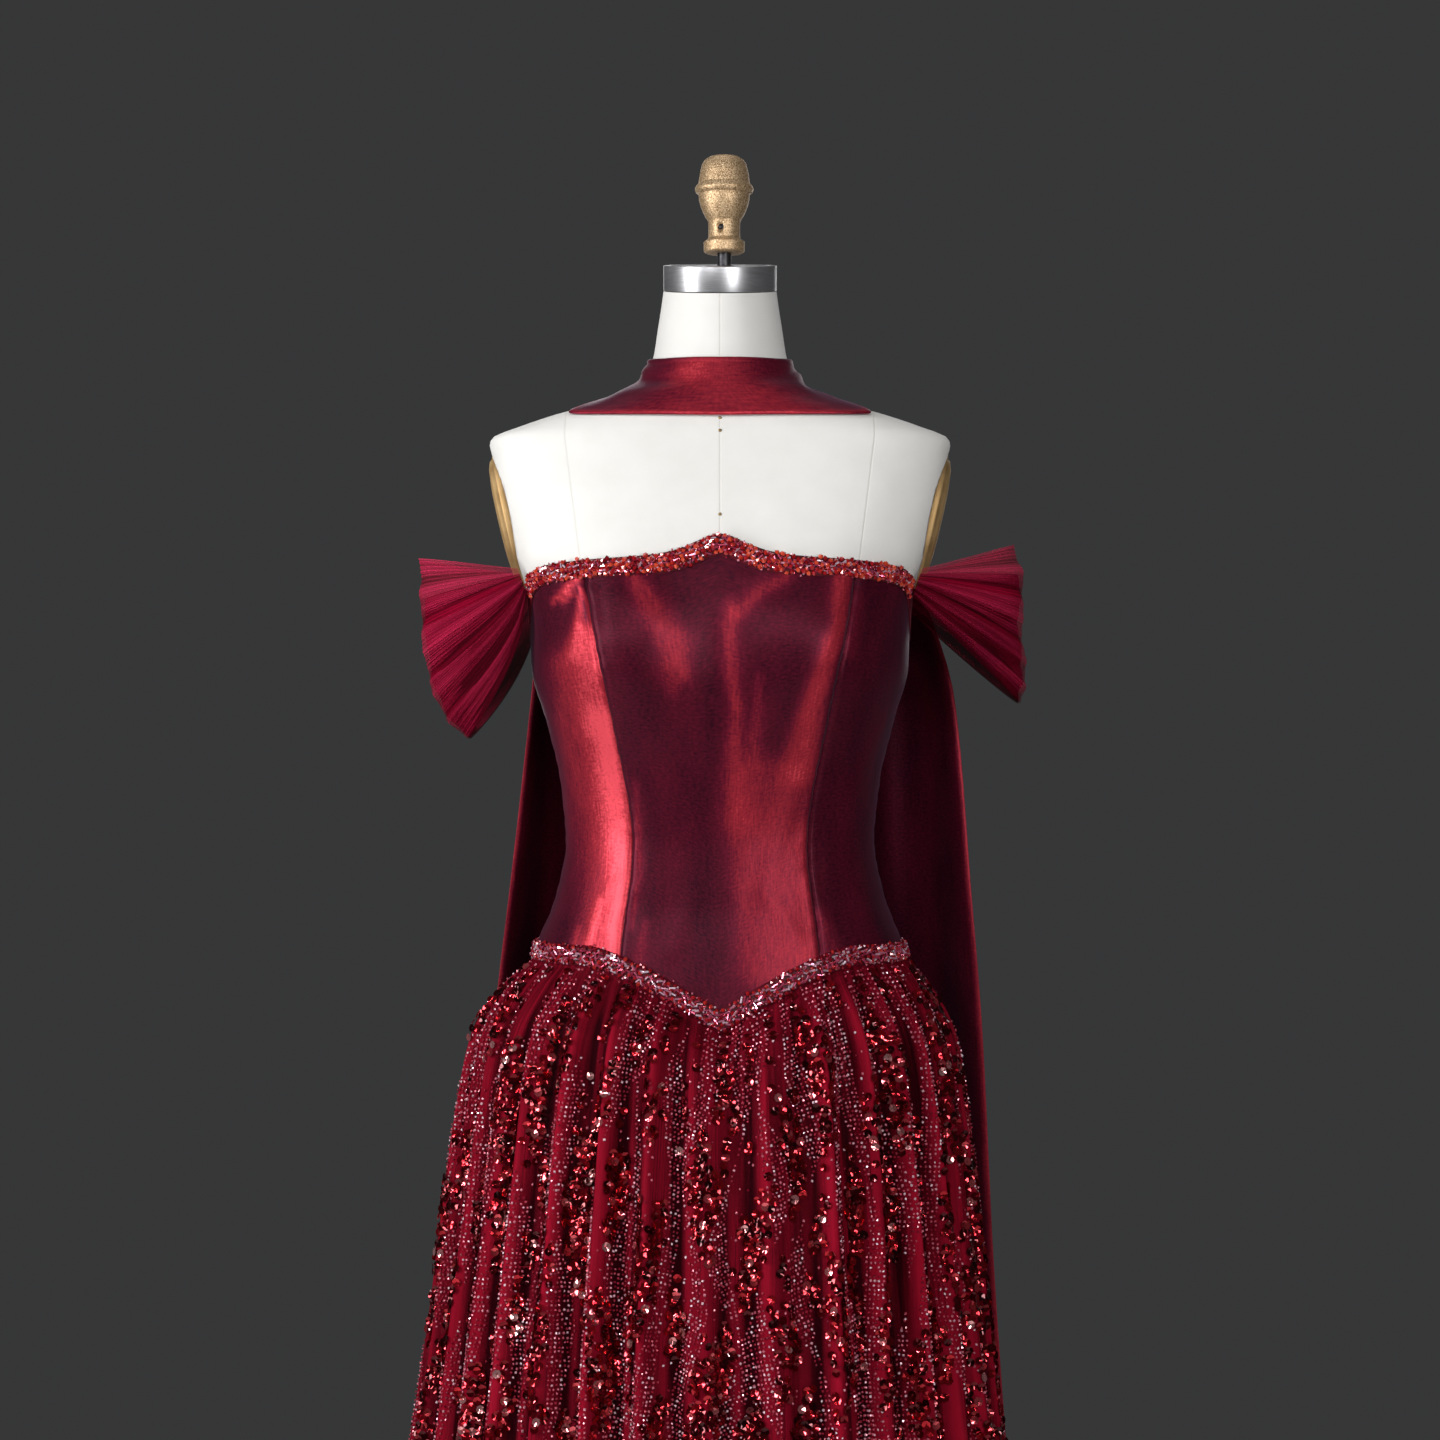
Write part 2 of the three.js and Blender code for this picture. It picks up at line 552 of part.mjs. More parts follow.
function addSkirt() {
  const count = FLUTES * FACETS_PER_FLUTE;
  const rings = FLUTE_DEPTH.map((row) => row.drop);
  const longest = rings.at(-1);
  const point = (angle, drop, side) => {
    const length = seamHeight(angle) - WAIST_SEAM_GAP - HEM_HEIGHT;
    const even = drop <= 75 ? drop : 75 + ((drop - 75) * (length - 75)) / (longest - 75);
    return skirtPoint(angle, even, (side - 1) * SKIRT_WALL);
  };
  const seam = SEAM_GAP / 2 / 170;
  add("skirt_front", wall(point, steps(-Math.PI + seam, -seam, count / 2), rings), "net");
  add("skirt_back", wall(point, steps(seam, Math.PI - seam, count / 2), rings), "net");
}

// The plain underskirt that shows through the net.
function addLining() {
  const start = 17;
  const rings = [start, 45, 110, 320, 1000];
  const point = (angle, ring, side) => {
    const length = seamHeight(angle) - SEAM_GAP - LINING_HEM_HEIGHT;
    const drop = ring > 320 ? length : ring;
    const z = seamHeight(angle) - SEAM_GAP - drop;
    const at = (column) => read(SKIRT_SECTIONS, "z", column, z);
    const inside = 8 + 1.2 * read(FLUTE_DEPTH, "drop", "out", drop);
    const [half, front, back] = ["half", "front", "back"].map((column) => at(column) - inside);
    const [wideX, wideY] = oval(angle, half, front, back, SKIRT_SQUARE);
    const [hipX, hipY] = formPoint(angle, Math.max(z, FORM_SECTIONS[0].z), CLOTH_CLEAR - SEAM_GAP);
    const open = 1 - Math.exp(-(drop - start) / LINING_PUFF_DROP);
    const [x, y] = [mix(hipX, wideX + at("shift"), open), mix(hipY, wideY, open)];
    const push = (side * LINING_WALL) / Math.hypot(x, y);
    return [x + push * x, y + push * y, z];
  };
  add("skirt_lining", wall(point, around(36), rings, true), "lining");
}

// A sleeve. along runs from its front root to its back root, and v from its upper to its lower edge.
function sleeveSurface(along, v, outermost) {
  const at = (column) => read(outermost, "v", column, v);
  const bend = Math.sin(Math.PI * along);
  const rootZ = mix(SLEEVE_ROOT.top, SLEEVE_ROOT.bottom, v);
  const y = mix(SLEEVE_ROOT.back, SLEEVE_ROOT.front, 0.5 + 0.5 * Math.cos(Math.PI * along));
  const out = CLOTH_CLEAR + BODICE_WALL + TRIM_GAP + TRIM_WALL + SLEEVE_CLEAR;
  const section = (column) => read(FORM_SECTIONS, "z", column, rootZ);
  const rootY = along < 0.5 ? SLEEVE_ROOT.front : SLEEVE_ROOT.back;
  const share = Math.abs(rootY) / ((rootY < 0 ? section("front") : section("back")) + out);
  const rootX = (section("half") + out) * (1 - share ** section("square")) ** (1 / section("square"));
  const pleat = SLEEVE_PLEAT_DEPTH * bend * Math.cos(TURN * SLEEVE_PLEATS * v);
  const reach = mix(rootX, at("x"), bend ** 0.9) + pleat;
  return new THREE.Vector3(reach, y, mix(rootZ, at("z"), bend ** at("fall")));
}

function addSleeve(name, { side, outermost }) {
  const point = (along, v, face) => {
    const p = sleeveSurface(along, v, outermost);
    if (face) return [side * p.x, p.y, p.z];
    const nudge = 0.004;
    const lift = (a, b) => sleeveSurface(a, b, outermost);
    const round = lift(Math.min(along + nudge, 1), v).sub(lift(Math.max(along - nudge, 0), v));
    const down = lift(along, Math.min(v + nudge, 1)).sub(lift(along, Math.max(v - nudge, 0)));
    p.add(round.cross(down).setLength(SLEEVE_WALL));
    return [side * p.x, p.y, p.z];
  };
  const turned = (u, v, face) => point(side > 0 ? u : 1 - u, v, face);
  const pleats = steps(0, 1, SLEEVE_PLEATS * 4);
  add(name, wall(turned, [0, 0.05, 0.14, 0.26, 0.4, 0.5, 0.6, 0.74, 0.86, 0.95, 1], pleats), "net");
}

// The scarf: a band round the front of the neck, and its two ends down the back.
function bandEdges(turn) {
  const angle = radians(turn - 90);
  const row = (column) => read(SCARF_BAND, "turn", column, Math.abs(turn));
  return [formPoint(angle, row("inner"), SCARF_CLEAR), formPoint(angle, row("outer"), SCARF_CLEAR)];
}

function bandPoint(turn, v, side) {
  const [inner, outer] = bandEdges(turn);
  const p = formPoint(radians(turn - 90), mix(inner[2], outer[2], v), SCARF_CLEAR);
  const away = new THREE.Vector3(p[0], p[1], mix(15, 70, v)).normalize();
  return new THREE.Vector3(...p).addScaledVector(away, Math.sin(Math.PI * v) + side * SCARF_WALL).toArray();
}

function tailPoint(rows, side, u, t, face) {
  const [inner, outer] = bandEdges(SCARF_BAND_END);
  const [xIn, yIn, zIn] = inner;
  const [xOut, yOut, zOut] = outer;
  const table = [{ t: 0, zIn, zOut, xIn, xOut, yIn, yOut, bow: 1 }, ...rows];
  const at = (column) => read(table, "t", column, t);
  const x = mix(at("xIn"), at("xOut"), u);
  const y = mix(at("yIn"), at("yOut"), u ** at("bow"));
  const z = mix(at("zIn"), at("zOut"), u);
  const wave = 0.5 - 0.5 * Math.cos(TURN * TAIL_FOLDS * u + 1.5 * t);
  const fold = smooth((t - 0.05) / 0.3) * TAIL_FOLD_DEPTH * wave;
  const over = new THREE.Vector3(0.35 * x, y, t < 0.06 ? 60 : 0).normalize();
  const lift = 1.2 + fold + face * SCARF_WALL;
  return [side * (x + lift * over.x), y + lift * over.y + SEAM_GAP, z + lift * over.z];
}

function addScarf() {
  const turns = steps(-SCARF_BAND_END, SCARF_BAND_END, 24);
  add("scarf_band", wall(bandPoint, turns, [0, 0.3, 0.55, 0.78, 1]), "taffeta");
  const rings = [0, 0.03, 0.06, 0.095, 0.13, 0.21, 0.27, 0.33, 0.41, 0.48, 0.55, 0.67, 0.8, 1];
  for (const [name, side] of [["left", -1], ["right", 1]]) {
    const point = (u, t, face) => tailPoint(TAILS[name], side, side > 0 ? 1 - u : u, t, face);
    add("scarf_tail_" + name, wall(point, steps(0, 1, 10), rings), "taffeta");
  }
}

addForm();
addNeckCap();
addStand();
addBodice();
addTrims();
addSkirt();
addLining();
addSleeve("sleeve_left", SLEEVES.left);
addSleeve("sleeve_right", SLEEVES.right);
addScarf();

export default dress;
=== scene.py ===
"""A strapless evening dress on a limbless dress form.

Shapes are worked out in millimetres by the same rules as the frame's solids, on finer grids, and become
metres when their meshes are made. +Z is up, the front faces -Y, and +X is the viewer's right. An angle is 0
at +X and a quarter turn at the back. Columns run round the body from its right side and rows run down.
"""

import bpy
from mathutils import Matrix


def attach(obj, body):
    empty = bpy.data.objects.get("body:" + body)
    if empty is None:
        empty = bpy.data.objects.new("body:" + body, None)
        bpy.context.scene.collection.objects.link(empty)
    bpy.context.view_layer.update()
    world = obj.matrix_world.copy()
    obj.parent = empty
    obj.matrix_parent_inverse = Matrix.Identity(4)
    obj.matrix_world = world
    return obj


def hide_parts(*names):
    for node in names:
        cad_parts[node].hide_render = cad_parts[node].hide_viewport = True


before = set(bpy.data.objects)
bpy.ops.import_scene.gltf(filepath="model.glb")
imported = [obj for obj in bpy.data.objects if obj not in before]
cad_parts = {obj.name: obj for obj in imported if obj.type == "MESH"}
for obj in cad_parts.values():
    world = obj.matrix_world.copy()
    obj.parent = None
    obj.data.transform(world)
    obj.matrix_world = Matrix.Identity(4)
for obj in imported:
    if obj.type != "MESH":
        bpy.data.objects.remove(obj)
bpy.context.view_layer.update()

import math

import bmesh
import bpy
import numpy as np
from mathutils import Matrix, Vector

TURN = 2 * math.pi
MM = 0.001
RNG = np.random.default_rng(11)

# Sizes that the frame's solids have too
SEAM_GAP = 0.3
CLOTH_CLEAR = 1.2
BODICE_WALL = 1.9
TRIM_GAP = 0.4
TRIM_WALL = 2
WAIST_SEAM_GAP = 0.9
BODICE_LENGTH = 330
NECKLINE_TRIM_WIDTH = 15
WAIST_TRIM_WIDTH = 17
HEM_HEIGHT = 14
LINING_HEM_HEIGHT = 45
FLUTES = 32
SKIRT_SQUARE = 2.1
PUFF_START = 10
PUFF_DROP = 15
LINING_PUFF_START = 17
LINING_PUFF_DROP = 34
SCARF_CLEAR = 2.4
SCARF_WALL = 1.5
BODICE_OUT = CLOTH_CLEAR + BODICE_WALL
TRIM_OUT = BODICE_OUT + TRIM_GAP


# Smooth curves through short tables
def table(names, *rows):
    """Curves by name: the first column is the key, and each other column is read along it."""
    grid = np.array(rows, float)
    return {name: (grid[:, 0], grid[:, i + 1]) for i, name in enumerate(names.split()[1:])}


def read(curve, at):
    """A smooth curve that never overshoots its rows."""
    x, y = curve
    at = np.clip(at, x[0], x[-1])
    i = np.clip(np.searchsorted(x, at, side="left") - 1, 0, len(x) - 2)
    slope = np.diff(y) / np.diff(x)
    same_way = slope[:-1] * slope[1:] > 0
    total = np.where(same_way, slope[:-1] + slope[1:], 1)
    inner = np.where(same_way, 2 * slope[:-1] * slope[1:] / total, 0)
    tangent = np.concatenate([slope[:1], inner, slope[-1:]])
    step = x[i + 1] - x[i]
    s = (at - x[i]) / step
    start = (2 * s**3 - 3 * s**2 + 1) * y[i] + (s**3 - 2 * s**2 + s) * step * tangent[i]
    return start + (3 * s**2 - 2 * s**3) * y[i + 1] + (s**3 - s**2) * step * tangent[i + 1]


def mix(a, b, share):
    return a + (b - a) * share


def smooth(x):
    x = np.clip(x, 0, 1)
    return x * x * (3 - 2 * x)


def bell(x, width, centre=0.0):
    return np.exp(-(((x - centre) / width) ** 2))


def to_line(x, z, x0, z0, x1, z1):
    """How far along a line, from 0 to 1, the nearest place to each x, z is, and how far away it is."""
    length2 = (x1 - x0) ** 2 + (z1 - z0) ** 2
    near = np.clip(((x - x0) * (x1 - x0) + (z - z0) * (z1 - z0)) / length2, 0, 1)
    return near, np.hypot(x - mix(x0, x1, near), z - mix(z0, z1, near))


FORM = table(
    "z half front back square",
    (815, 168, 110, 118, 2.3),
    (850, 171, 113, 122, 2.3),
    (890, 168, 113, 121, 2.3),
    (930, 160, 109, 115, 2.3),
    (960, 152, 104, 107, 2.3),
    (1000, 136.5, 97, 93, 2.25),
    (1046, 127.5, 95, 85, 2.2),
    (1100, 132.5, 103, 88, 2.25),
    (1150, 144.5, 115, 95, 2.3),
    (1195, 156.5, 121, 100, 2.4),
    (1235, 158, 119, 104, 2.5),
    (1262, 164, 114, 106, 2.7),
    (1290, 174.5, 107, 106, 2.9),
    (1337, 187, 95, 104, 3.0),
    (1372, 192.5, 84, 98, 3.0),
    (1383, 195, 80.5, 94.5, 3.0),
    (1388, 192.5, 79, 93, 3.0),
    (1396, 173, 76, 90, 2.95),
    (1405, 147, 72, 87, 2.9),
    (1420, 97, 66, 79, 2.5),
    (1434, 68, 61, 70, 2.2),
    (1456, 57, 56, 60, 2.0),
    (1481, 52.9, 54, 52, 2.0),
    (1514, 48, 52, 44, 2.0),
    (1535, 46, 50, 42, 2.0),
)
FORM_BOTTOM = 815
BUST = {"rise": 20, "out": 88, "wide": 52, "height": 1210, "above": 48, "below": 62}
FRONT_SEAMS = table(
    "z half", (900, 84), (960, 80), (1046, 71), (1150, 87), (1210, 99), (1270, 109), (1300, 112)
)
SKIRT = table(
    "z half front back shift",
    (0, 318, 300, 332, -9),
    (300, 276, 256, 283, -9),
    (546, 239, 213, 236, -7.5),
    (665, 227, 191, 212, -6.5),
    (767, 216, 174, 194, -5),
    (827, 208.5, 164, 183, -4.5),
    (875, 201, 156, 172, -4),
    (899, 194, 150, 164, -4),
    (925, 182, 142, 154, -3),
    (960, 166, 128, 138, -2),
)
FLUTE_DEPTH = table("drop out", (0, 0), (10, 0), (30, 4.5), (75, 7.5), (190, 10), (470, 13), (940, 19))
EVEN_DROP = 75
LONGEST_DROP = 940
# Half width, front, back and squareness of the form at the neckline and at the waist seam
NECKLINE_OVAL = (172, 110, 106, 2.7)
WAIST_OVAL = (158, 107, 111, 2.3)
# Heights of the bodice's two edges, and how far they rise or dip in front, at the sides and at the back
NECKLINE = {"height": 1278, "front_rise": 6, "side_fall": 5, "peak": 18, "peak_width": 26, "arm_dip": 42}
WAIST = {"height": 965, "half_width": 112, "front_point": 52, "front_power": 1.45, "back_point": 14}


def oval(angle, half, front, back, square):
    power = 2 / square
    c, s = np.cos(angle), np.sin(angle)
    x = half * np.sign(c) * np.abs(c) ** power
    y = np.where(s < 0, front, back) * np.sign(s) * np.abs(s) ** power
    return x, y


def sides_at(curves, z, out=0.0):
    """Half width, front and back at a height, moved out."""
    return [read(curves[side], z) + out for side in ("half", "front", "back")]


def form_point(angle, z, out=0.0):
    """Points of the form's surface, moved out."""
    angle, z, out = np.broadcast_arrays(np.asarray(angle, float), z, out)
    x, y = oval(angle, *sides_at(FORM, z, out), read(FORM["square"], z))
    tall = np.where(z > BUST["height"], BUST["above"], BUST["below"])
    across = (np.abs(x) - BUST["out"]) / BUST["wide"]
    bust = np.where(y < 0, BUST["rise"] * np.exp(-(across**2) - ((z - BUST["height"]) / tall) ** 2), 0)
    return np.stack([x, y - bust * np.clip(-np.sin(angle) * 2.5, 0, 1), z + 0 * x], -1)


def neckline_height(angle):
    x, _ = oval(angle, *NECKLINE_OVAL)
    level = NECKLINE["height"] - NECKLINE["front_rise"] * np.sin(angle)
    level = level - NECKLINE["side_fall"] * (x / 150) ** 2
    peak = NECKLINE["peak"] * np.exp(-((np.abs(x) / NECKLINE["peak_width"]) ** 1.5))
    return level + np.where(np.sin(angle) < 0, peak, 0) - NECKLINE["arm_dip"] * bell(np.sin(angle), 0.3)


def waist_height(angle):
    x, _ = oval(angle, *WAIST_OVAL)
    share = np.clip(1 - np.abs(x) / WAIST["half_width"], 0, 1)
    front = WAIST["front_point"] * share ** WAIST["front_power"]
    return WAIST["height"] - np.where(np.sin(angle) < 0, front, WAIST["back_point"] * share**2)


def seam_height(angle):
    return waist_height(angle) - WAIST_TRIM_WIDTH / 2


PANELS = {
    "bodice_back_right": (0, 9),
    "bodice_back_left": (9, 18),
    "bodice_side_front_left": (18, 24),
    "bodice_front_centre": (24, 34),
    "bodice_side_front_right": (34, 40),
}
COLUMNS = 40
PANEL_EDGES = np.array([0, 9, 18, 24, 34, COLUMNS])
PRINCESS_SEAM_ENDS = (900, 1290)


def column_angle(column, height):
    """The angle of a column at a height. The front panels' columns follow the princess seams."""
    column, height = np.broadcast_arrays(np.asarray(column, float), height)
    z = np.clip(height, *PRINCESS_SEAM_ENDS)
    share = read(FRONT_SEAMS["half"], z) / (read(FORM["half"], z) + CLOTH_CLEAR)
    seam = np.arccos(share ** (read(FORM["square"], z) / 2))
    flat = np.zeros_like(seam)
    ends = np.stack([flat, flat + TURN / 4, flat + TURN / 2, TURN / 2 + seam, TURN - seam, flat + TURN])
    i = np.clip(np.searchsorted(PANEL_EDGES, column, side="left") - 1, 0, len(PANEL_EDGES) - 2)
    low = np.take_along_axis(ends, i[None], 0)[0]
    high = np.take_along_axis(ends, i[None] + 1, 0)[0]
    return mix(low, high, (column - PANEL_EDGES[i]) / (PANEL_EDGES[i + 1] - PANEL_EDGES[i]))


def bodice_point(column, v, out):
    """A point of the bodice, v of the way from its neckline to its waist seam."""
    near = column_angle(column, 1100)
    angle = column_angle(column, mix(neckline_height(near), seam_height(near), v))
    return form_point(angle, mix(neckline_height(angle), seam_height(angle), v), out)


def flutes(angle, z):
    bunching = 0.9 * np.sin(3 * angle + 1.3) + 0.6 * np.sin(7 * angle + 0.4)
    phase = FLUTES * angle + bunching + 0.35 * np.sin(2 * angle + z / 260)
    uneven = 0.72 + 0.28 * np.cos(5 * angle + 2.1 + z / 420)
    return uneven * (np.cos(phase) + 0.2 * np.cos(2 * phase))


def gathers(angle, drop):
    """Small gathers under the waist seam, between the flutes."""
    wave = np.sin(97 * angle + 1.5 * np.sin(5 * angle)) + 0.6 * np.sin(143 * angle + 2 * np.sin(9 * angle))
    return 1.3 * wave * smooth(drop / 14) * np.exp(-drop / 130)


def small_folds(angle, z, drop):
    """Narrow folds in the net on and between the flutes."""
    first = np.sin(83 * angle + 2.2 * np.sin(5 * angle + z / 190) + z / 150)
    second = np.sin(61 * angle + 2.6 * np.sin(4 * angle - z / 230))
    return (0.9 + drop / 600) * smooth((drop - 15) / 60) * (0.6 * first + 0.6 * second)


def opened_skirt(angle, z, drop, inside, hip_out, start, puff_drop):
    """Where the skirt is at a height, as it opens from the hips to its full width below the waist."""
    wide_x, wide_y = oval(angle, *sides_at(SKIRT, z, -inside), SKIRT_SQUARE)
    hip = form_point(angle, np.maximum(z, FORM_BOTTOM), hip_out)
    opened = 1 - np.exp(-np.maximum(0, drop - start) / puff_drop)
    x = mix(hip[..., 0], wide_x + read(SKIRT["shift"], z), opened)
    return x, mix(hip[..., 1], wide_y, opened)


def skirt_point(angle, ring, out=0.0):
    """A point of the skirt's net, ring mm down from the waist seam where the skirt is longest."""
    angle, ring = np.broadcast_arrays(np.asarray(angle, float), ring)
    length = seam_height(angle) - WAIST_SEAM_GAP - HEM_HEIGHT
    stretched = EVEN_DROP + (ring - EVEN_DROP) * (length - EVEN_DROP) / (LONGEST_DROP - EVEN_DROP)
    drop = np.where(ring <= EVEN_DROP, ring, stretched)
    z = seam_height(angle) - WAIST_SEAM_GAP - drop
    x, y = opened_skirt(angle, z, drop, 0, BODICE_OUT - SEAM_GAP, PUFF_START, PUFF_DROP)
    folds = read(FLUTE_DEPTH["out"], drop) * flutes(angle, z) + gathers(angle, drop)
    push = (out + (folds + small_folds(angle, z, drop))) / np.hypot(x, y)
    return np.stack([x + push * x, y + push * y, z], -1)


# Meshes
def mesh_object(name, points, faces, shaded=True):
    """A mesh of equal-sided faces from points in millimetres."""
    mesh = bpy.data.meshes.new(name)
    mesh.vertices.add(len(points))
    mesh.vertices.foreach_set("co", (np.asarray(points, np.float64) * MM).astype(np.float32).ravel())
    faces = np.asarray(faces, np.int32)
    mesh.loops.add(faces.size)
    mesh.loops.foreach_set("vertex_index", faces.ravel())
    mesh.polygons.add(len(faces))
    mesh.polygons.foreach_set("loop_start", np.arange(0, faces.size, faces.shape[1], dtype=np.int32))
    mesh.update(calc_edges=True)
    mesh.polygons.foreach_set("use_smooth", np.full(len(faces), shaded))
    piece = bpy.data.objects.new(name, mesh)
    bpy.context.collection.objects.link(piece)
    return piece


def grid_faces(rows, cols, ring=False):
    ids = np.arange(rows * cols).reshape(rows, cols)
    if ring:
        ids = np.hstack([ids, ids[:, :1]])
    return np.stack([ids[:-1, :-1], ids[1:, :-1], ids[1:, 1:], ids[:-1, 1:]], -1).reshape(-1, 4)


def grid_object(name, points, ring=False):
    return mesh_object(name, points.reshape(-1, 3), grid_faces(*points.shape[:2], ring))


def add_map(piece, across, down):
    """A map of each grid point's distances across and down the cloth, in metres."""
    layer = piece.data.uv_layers.new(name="cloth")
    ids = np.empty(len(piece.data.loops), np.int32)
    piece.data.loops.foreach_get("vertex_index", ids)
    flat = np.stack([across.ravel(), down.ravel()], -1)[ids] * MM
    layer.data.foreach_set("uv", flat.astype(np.float32).ravel())


def distances(points):
    """How far along a line of points each one lies."""
    return np.concatenate([[0], np.cumsum(np.linalg.norm(np.diff(points, axis=0), axis=1))])


def cloth(name, points, ring=False, thickness=0.0, fold=None, lengthways=False):
    """Cloth over a grid of points, with its map, as a single sheet or as two faces with a rim.

    fold is a share of painted light at each point: painted shade at 0, as in a valley, and a painted
    highlight at 1, as on a ridge. The threads run down the grid, or along its rows where they are lengthways.
    """
    rows, cols = points.shape[:2]
    piece = grid_object(name, points, ring)
    if fold is not None:
        layer = piece.data.attributes.new("fold", "FLOAT", "POINT")
        layer.data.foreach_set("value", np.broadcast_to(fold, (rows, cols)).astype(np.float32).ravel())
    across, down = distances(points[rows // 2])[None], distances(points[:, cols // 2])[:, None]
    across, down = np.broadcast_arrays(across, down)
    add_map(piece, *((down, across) if lengthways else (across, down)))
    if thickness:
        apply_modifier(piece, "SOLIDIFY", thickness=thickness * MM, offset=-1)
    return piece


def apply_modifier(piece, kind, **settings):
    modifier = piece.modifiers.new(kind.title(), kind)
    for key, value in settings.items():
        setattr(modifier, key, value)
    depsgraph = bpy.context.evaluated_depsgraph_get()
    old = piece.data
    piece.data = bpy.data.meshes.new_from_object(piece.evaluated_get(depsgraph))
    piece.modifiers.clear()
    bpy.data.meshes.remove(old)


def moved(x, y, z):
    return Matrix.Translation((x * MM, y * MM, z * MM))


def rotated(degrees, axis):
    return Matrix.Rotation(math.radians(degrees), 4, axis)


def weld(piece):
    work = bmesh.new()
    work.from_mesh(piece.data)
    bmesh.ops.remove_doubles(work, verts=work.verts, dist=1e-6)
    bmesh.ops.recalc_face_normals(work, faces=work.faces)
    work.to_mesh(piece.data)
    work.free()


def lathe(name, outline, segments=96, rounded=0.0, transform=None):
    """A turned piece round Z from (radius, height) rows, with its sharp edges rounded."""
    angles = np.arange(segments) * TURN / segments
    r, z = np.array(outline, float).T
    points = np.stack(
        [r[:, None] * np.cos(angles), r[:, None] * np.sin(angles), z[:, None] + 0 * angles[None]], -1
    )[::-1]
    piece = grid_object(name, points, ring=True)
    weld(piece)
    if rounded:
        apply_modifier(piece, "BEVEL", width=rounded * MM, segments=3, limit_method="ANGLE", angle_limit=0.5)
    if transform is not None:
        piece.data.transform(transform)
    return piece


def copies(name, shape, faces, places, axes, sizes, tones=(0, 1), shaded=False):
    """Copies of one small shape as one mesh, each on its own axes, with its own size and tone."""
    shape = np.asarray(shape, float)
    moved = np.einsum("ij,njk->nik", shape, axes * np.asarray(sizes, float)[:, None, None])
    points = (moved + places[:, None]).reshape(-1, 3)
    faces = np.asarray(faces)
    all_faces = (faces[None] + np.arange(len(places))[:, None, None] * len(shape)).reshape(-1, faces.shape[1])
    piece = mesh_object(name, points, all_faces, shaded)
    tone = piece.data.attributes.new("tone", "FLOAT", "POINT")
    tone.data.foreach_set("value", np.repeat(RNG.uniform(*tones, len(places)), len(shape)).astype(np.float32))
    return piece


def unit(v):
    return v / np.maximum(np.linalg.norm(v, axis=-1, keepdims=True), 1e-9)


def axes_on(normals, along, tilt=0.0):
    """Three axes for each place: along the surface, across it, and out of it, tilted at random."""
    out = unit(normals + tilt * RNG.normal(size=normals.shape))
    across = unit(np.cross(out, along))
    return np.stack([np.cross(across, out), across, out], 1)


def turned(axes, angle):
    """Turn each set of axes about its own third axis."""
    first = axes[:, 0] * np.cos(angle)[:, None] + axes[:, 1] * np.sin(angle)[:, None]
    return np.stack([first, np.cross(axes[:, 2], first), axes[:, 2]], 1)


def spin(axes):
    return turned(axes, RNG.random(len(axes)) * TURN)


def surface_frame(point, first, second):
    """Places on a surface, with the direction round the body and the outward normal at each."""
    step = 1e-3
    along = point(first + step, second) - point(first - step, second)
    down = point(first, second + step) - point(first, second - step)
    return point(first, second), unit(along), unit(np.cross(down, along))


# Materials

# How far apart a wave texture's bands are at scale 1, and the pitches of net and fine pleats, in metres
WAVE_REPEAT = 0.314
NET_PITCH = 0.0011
PLEAT_PITCH = 0.0021


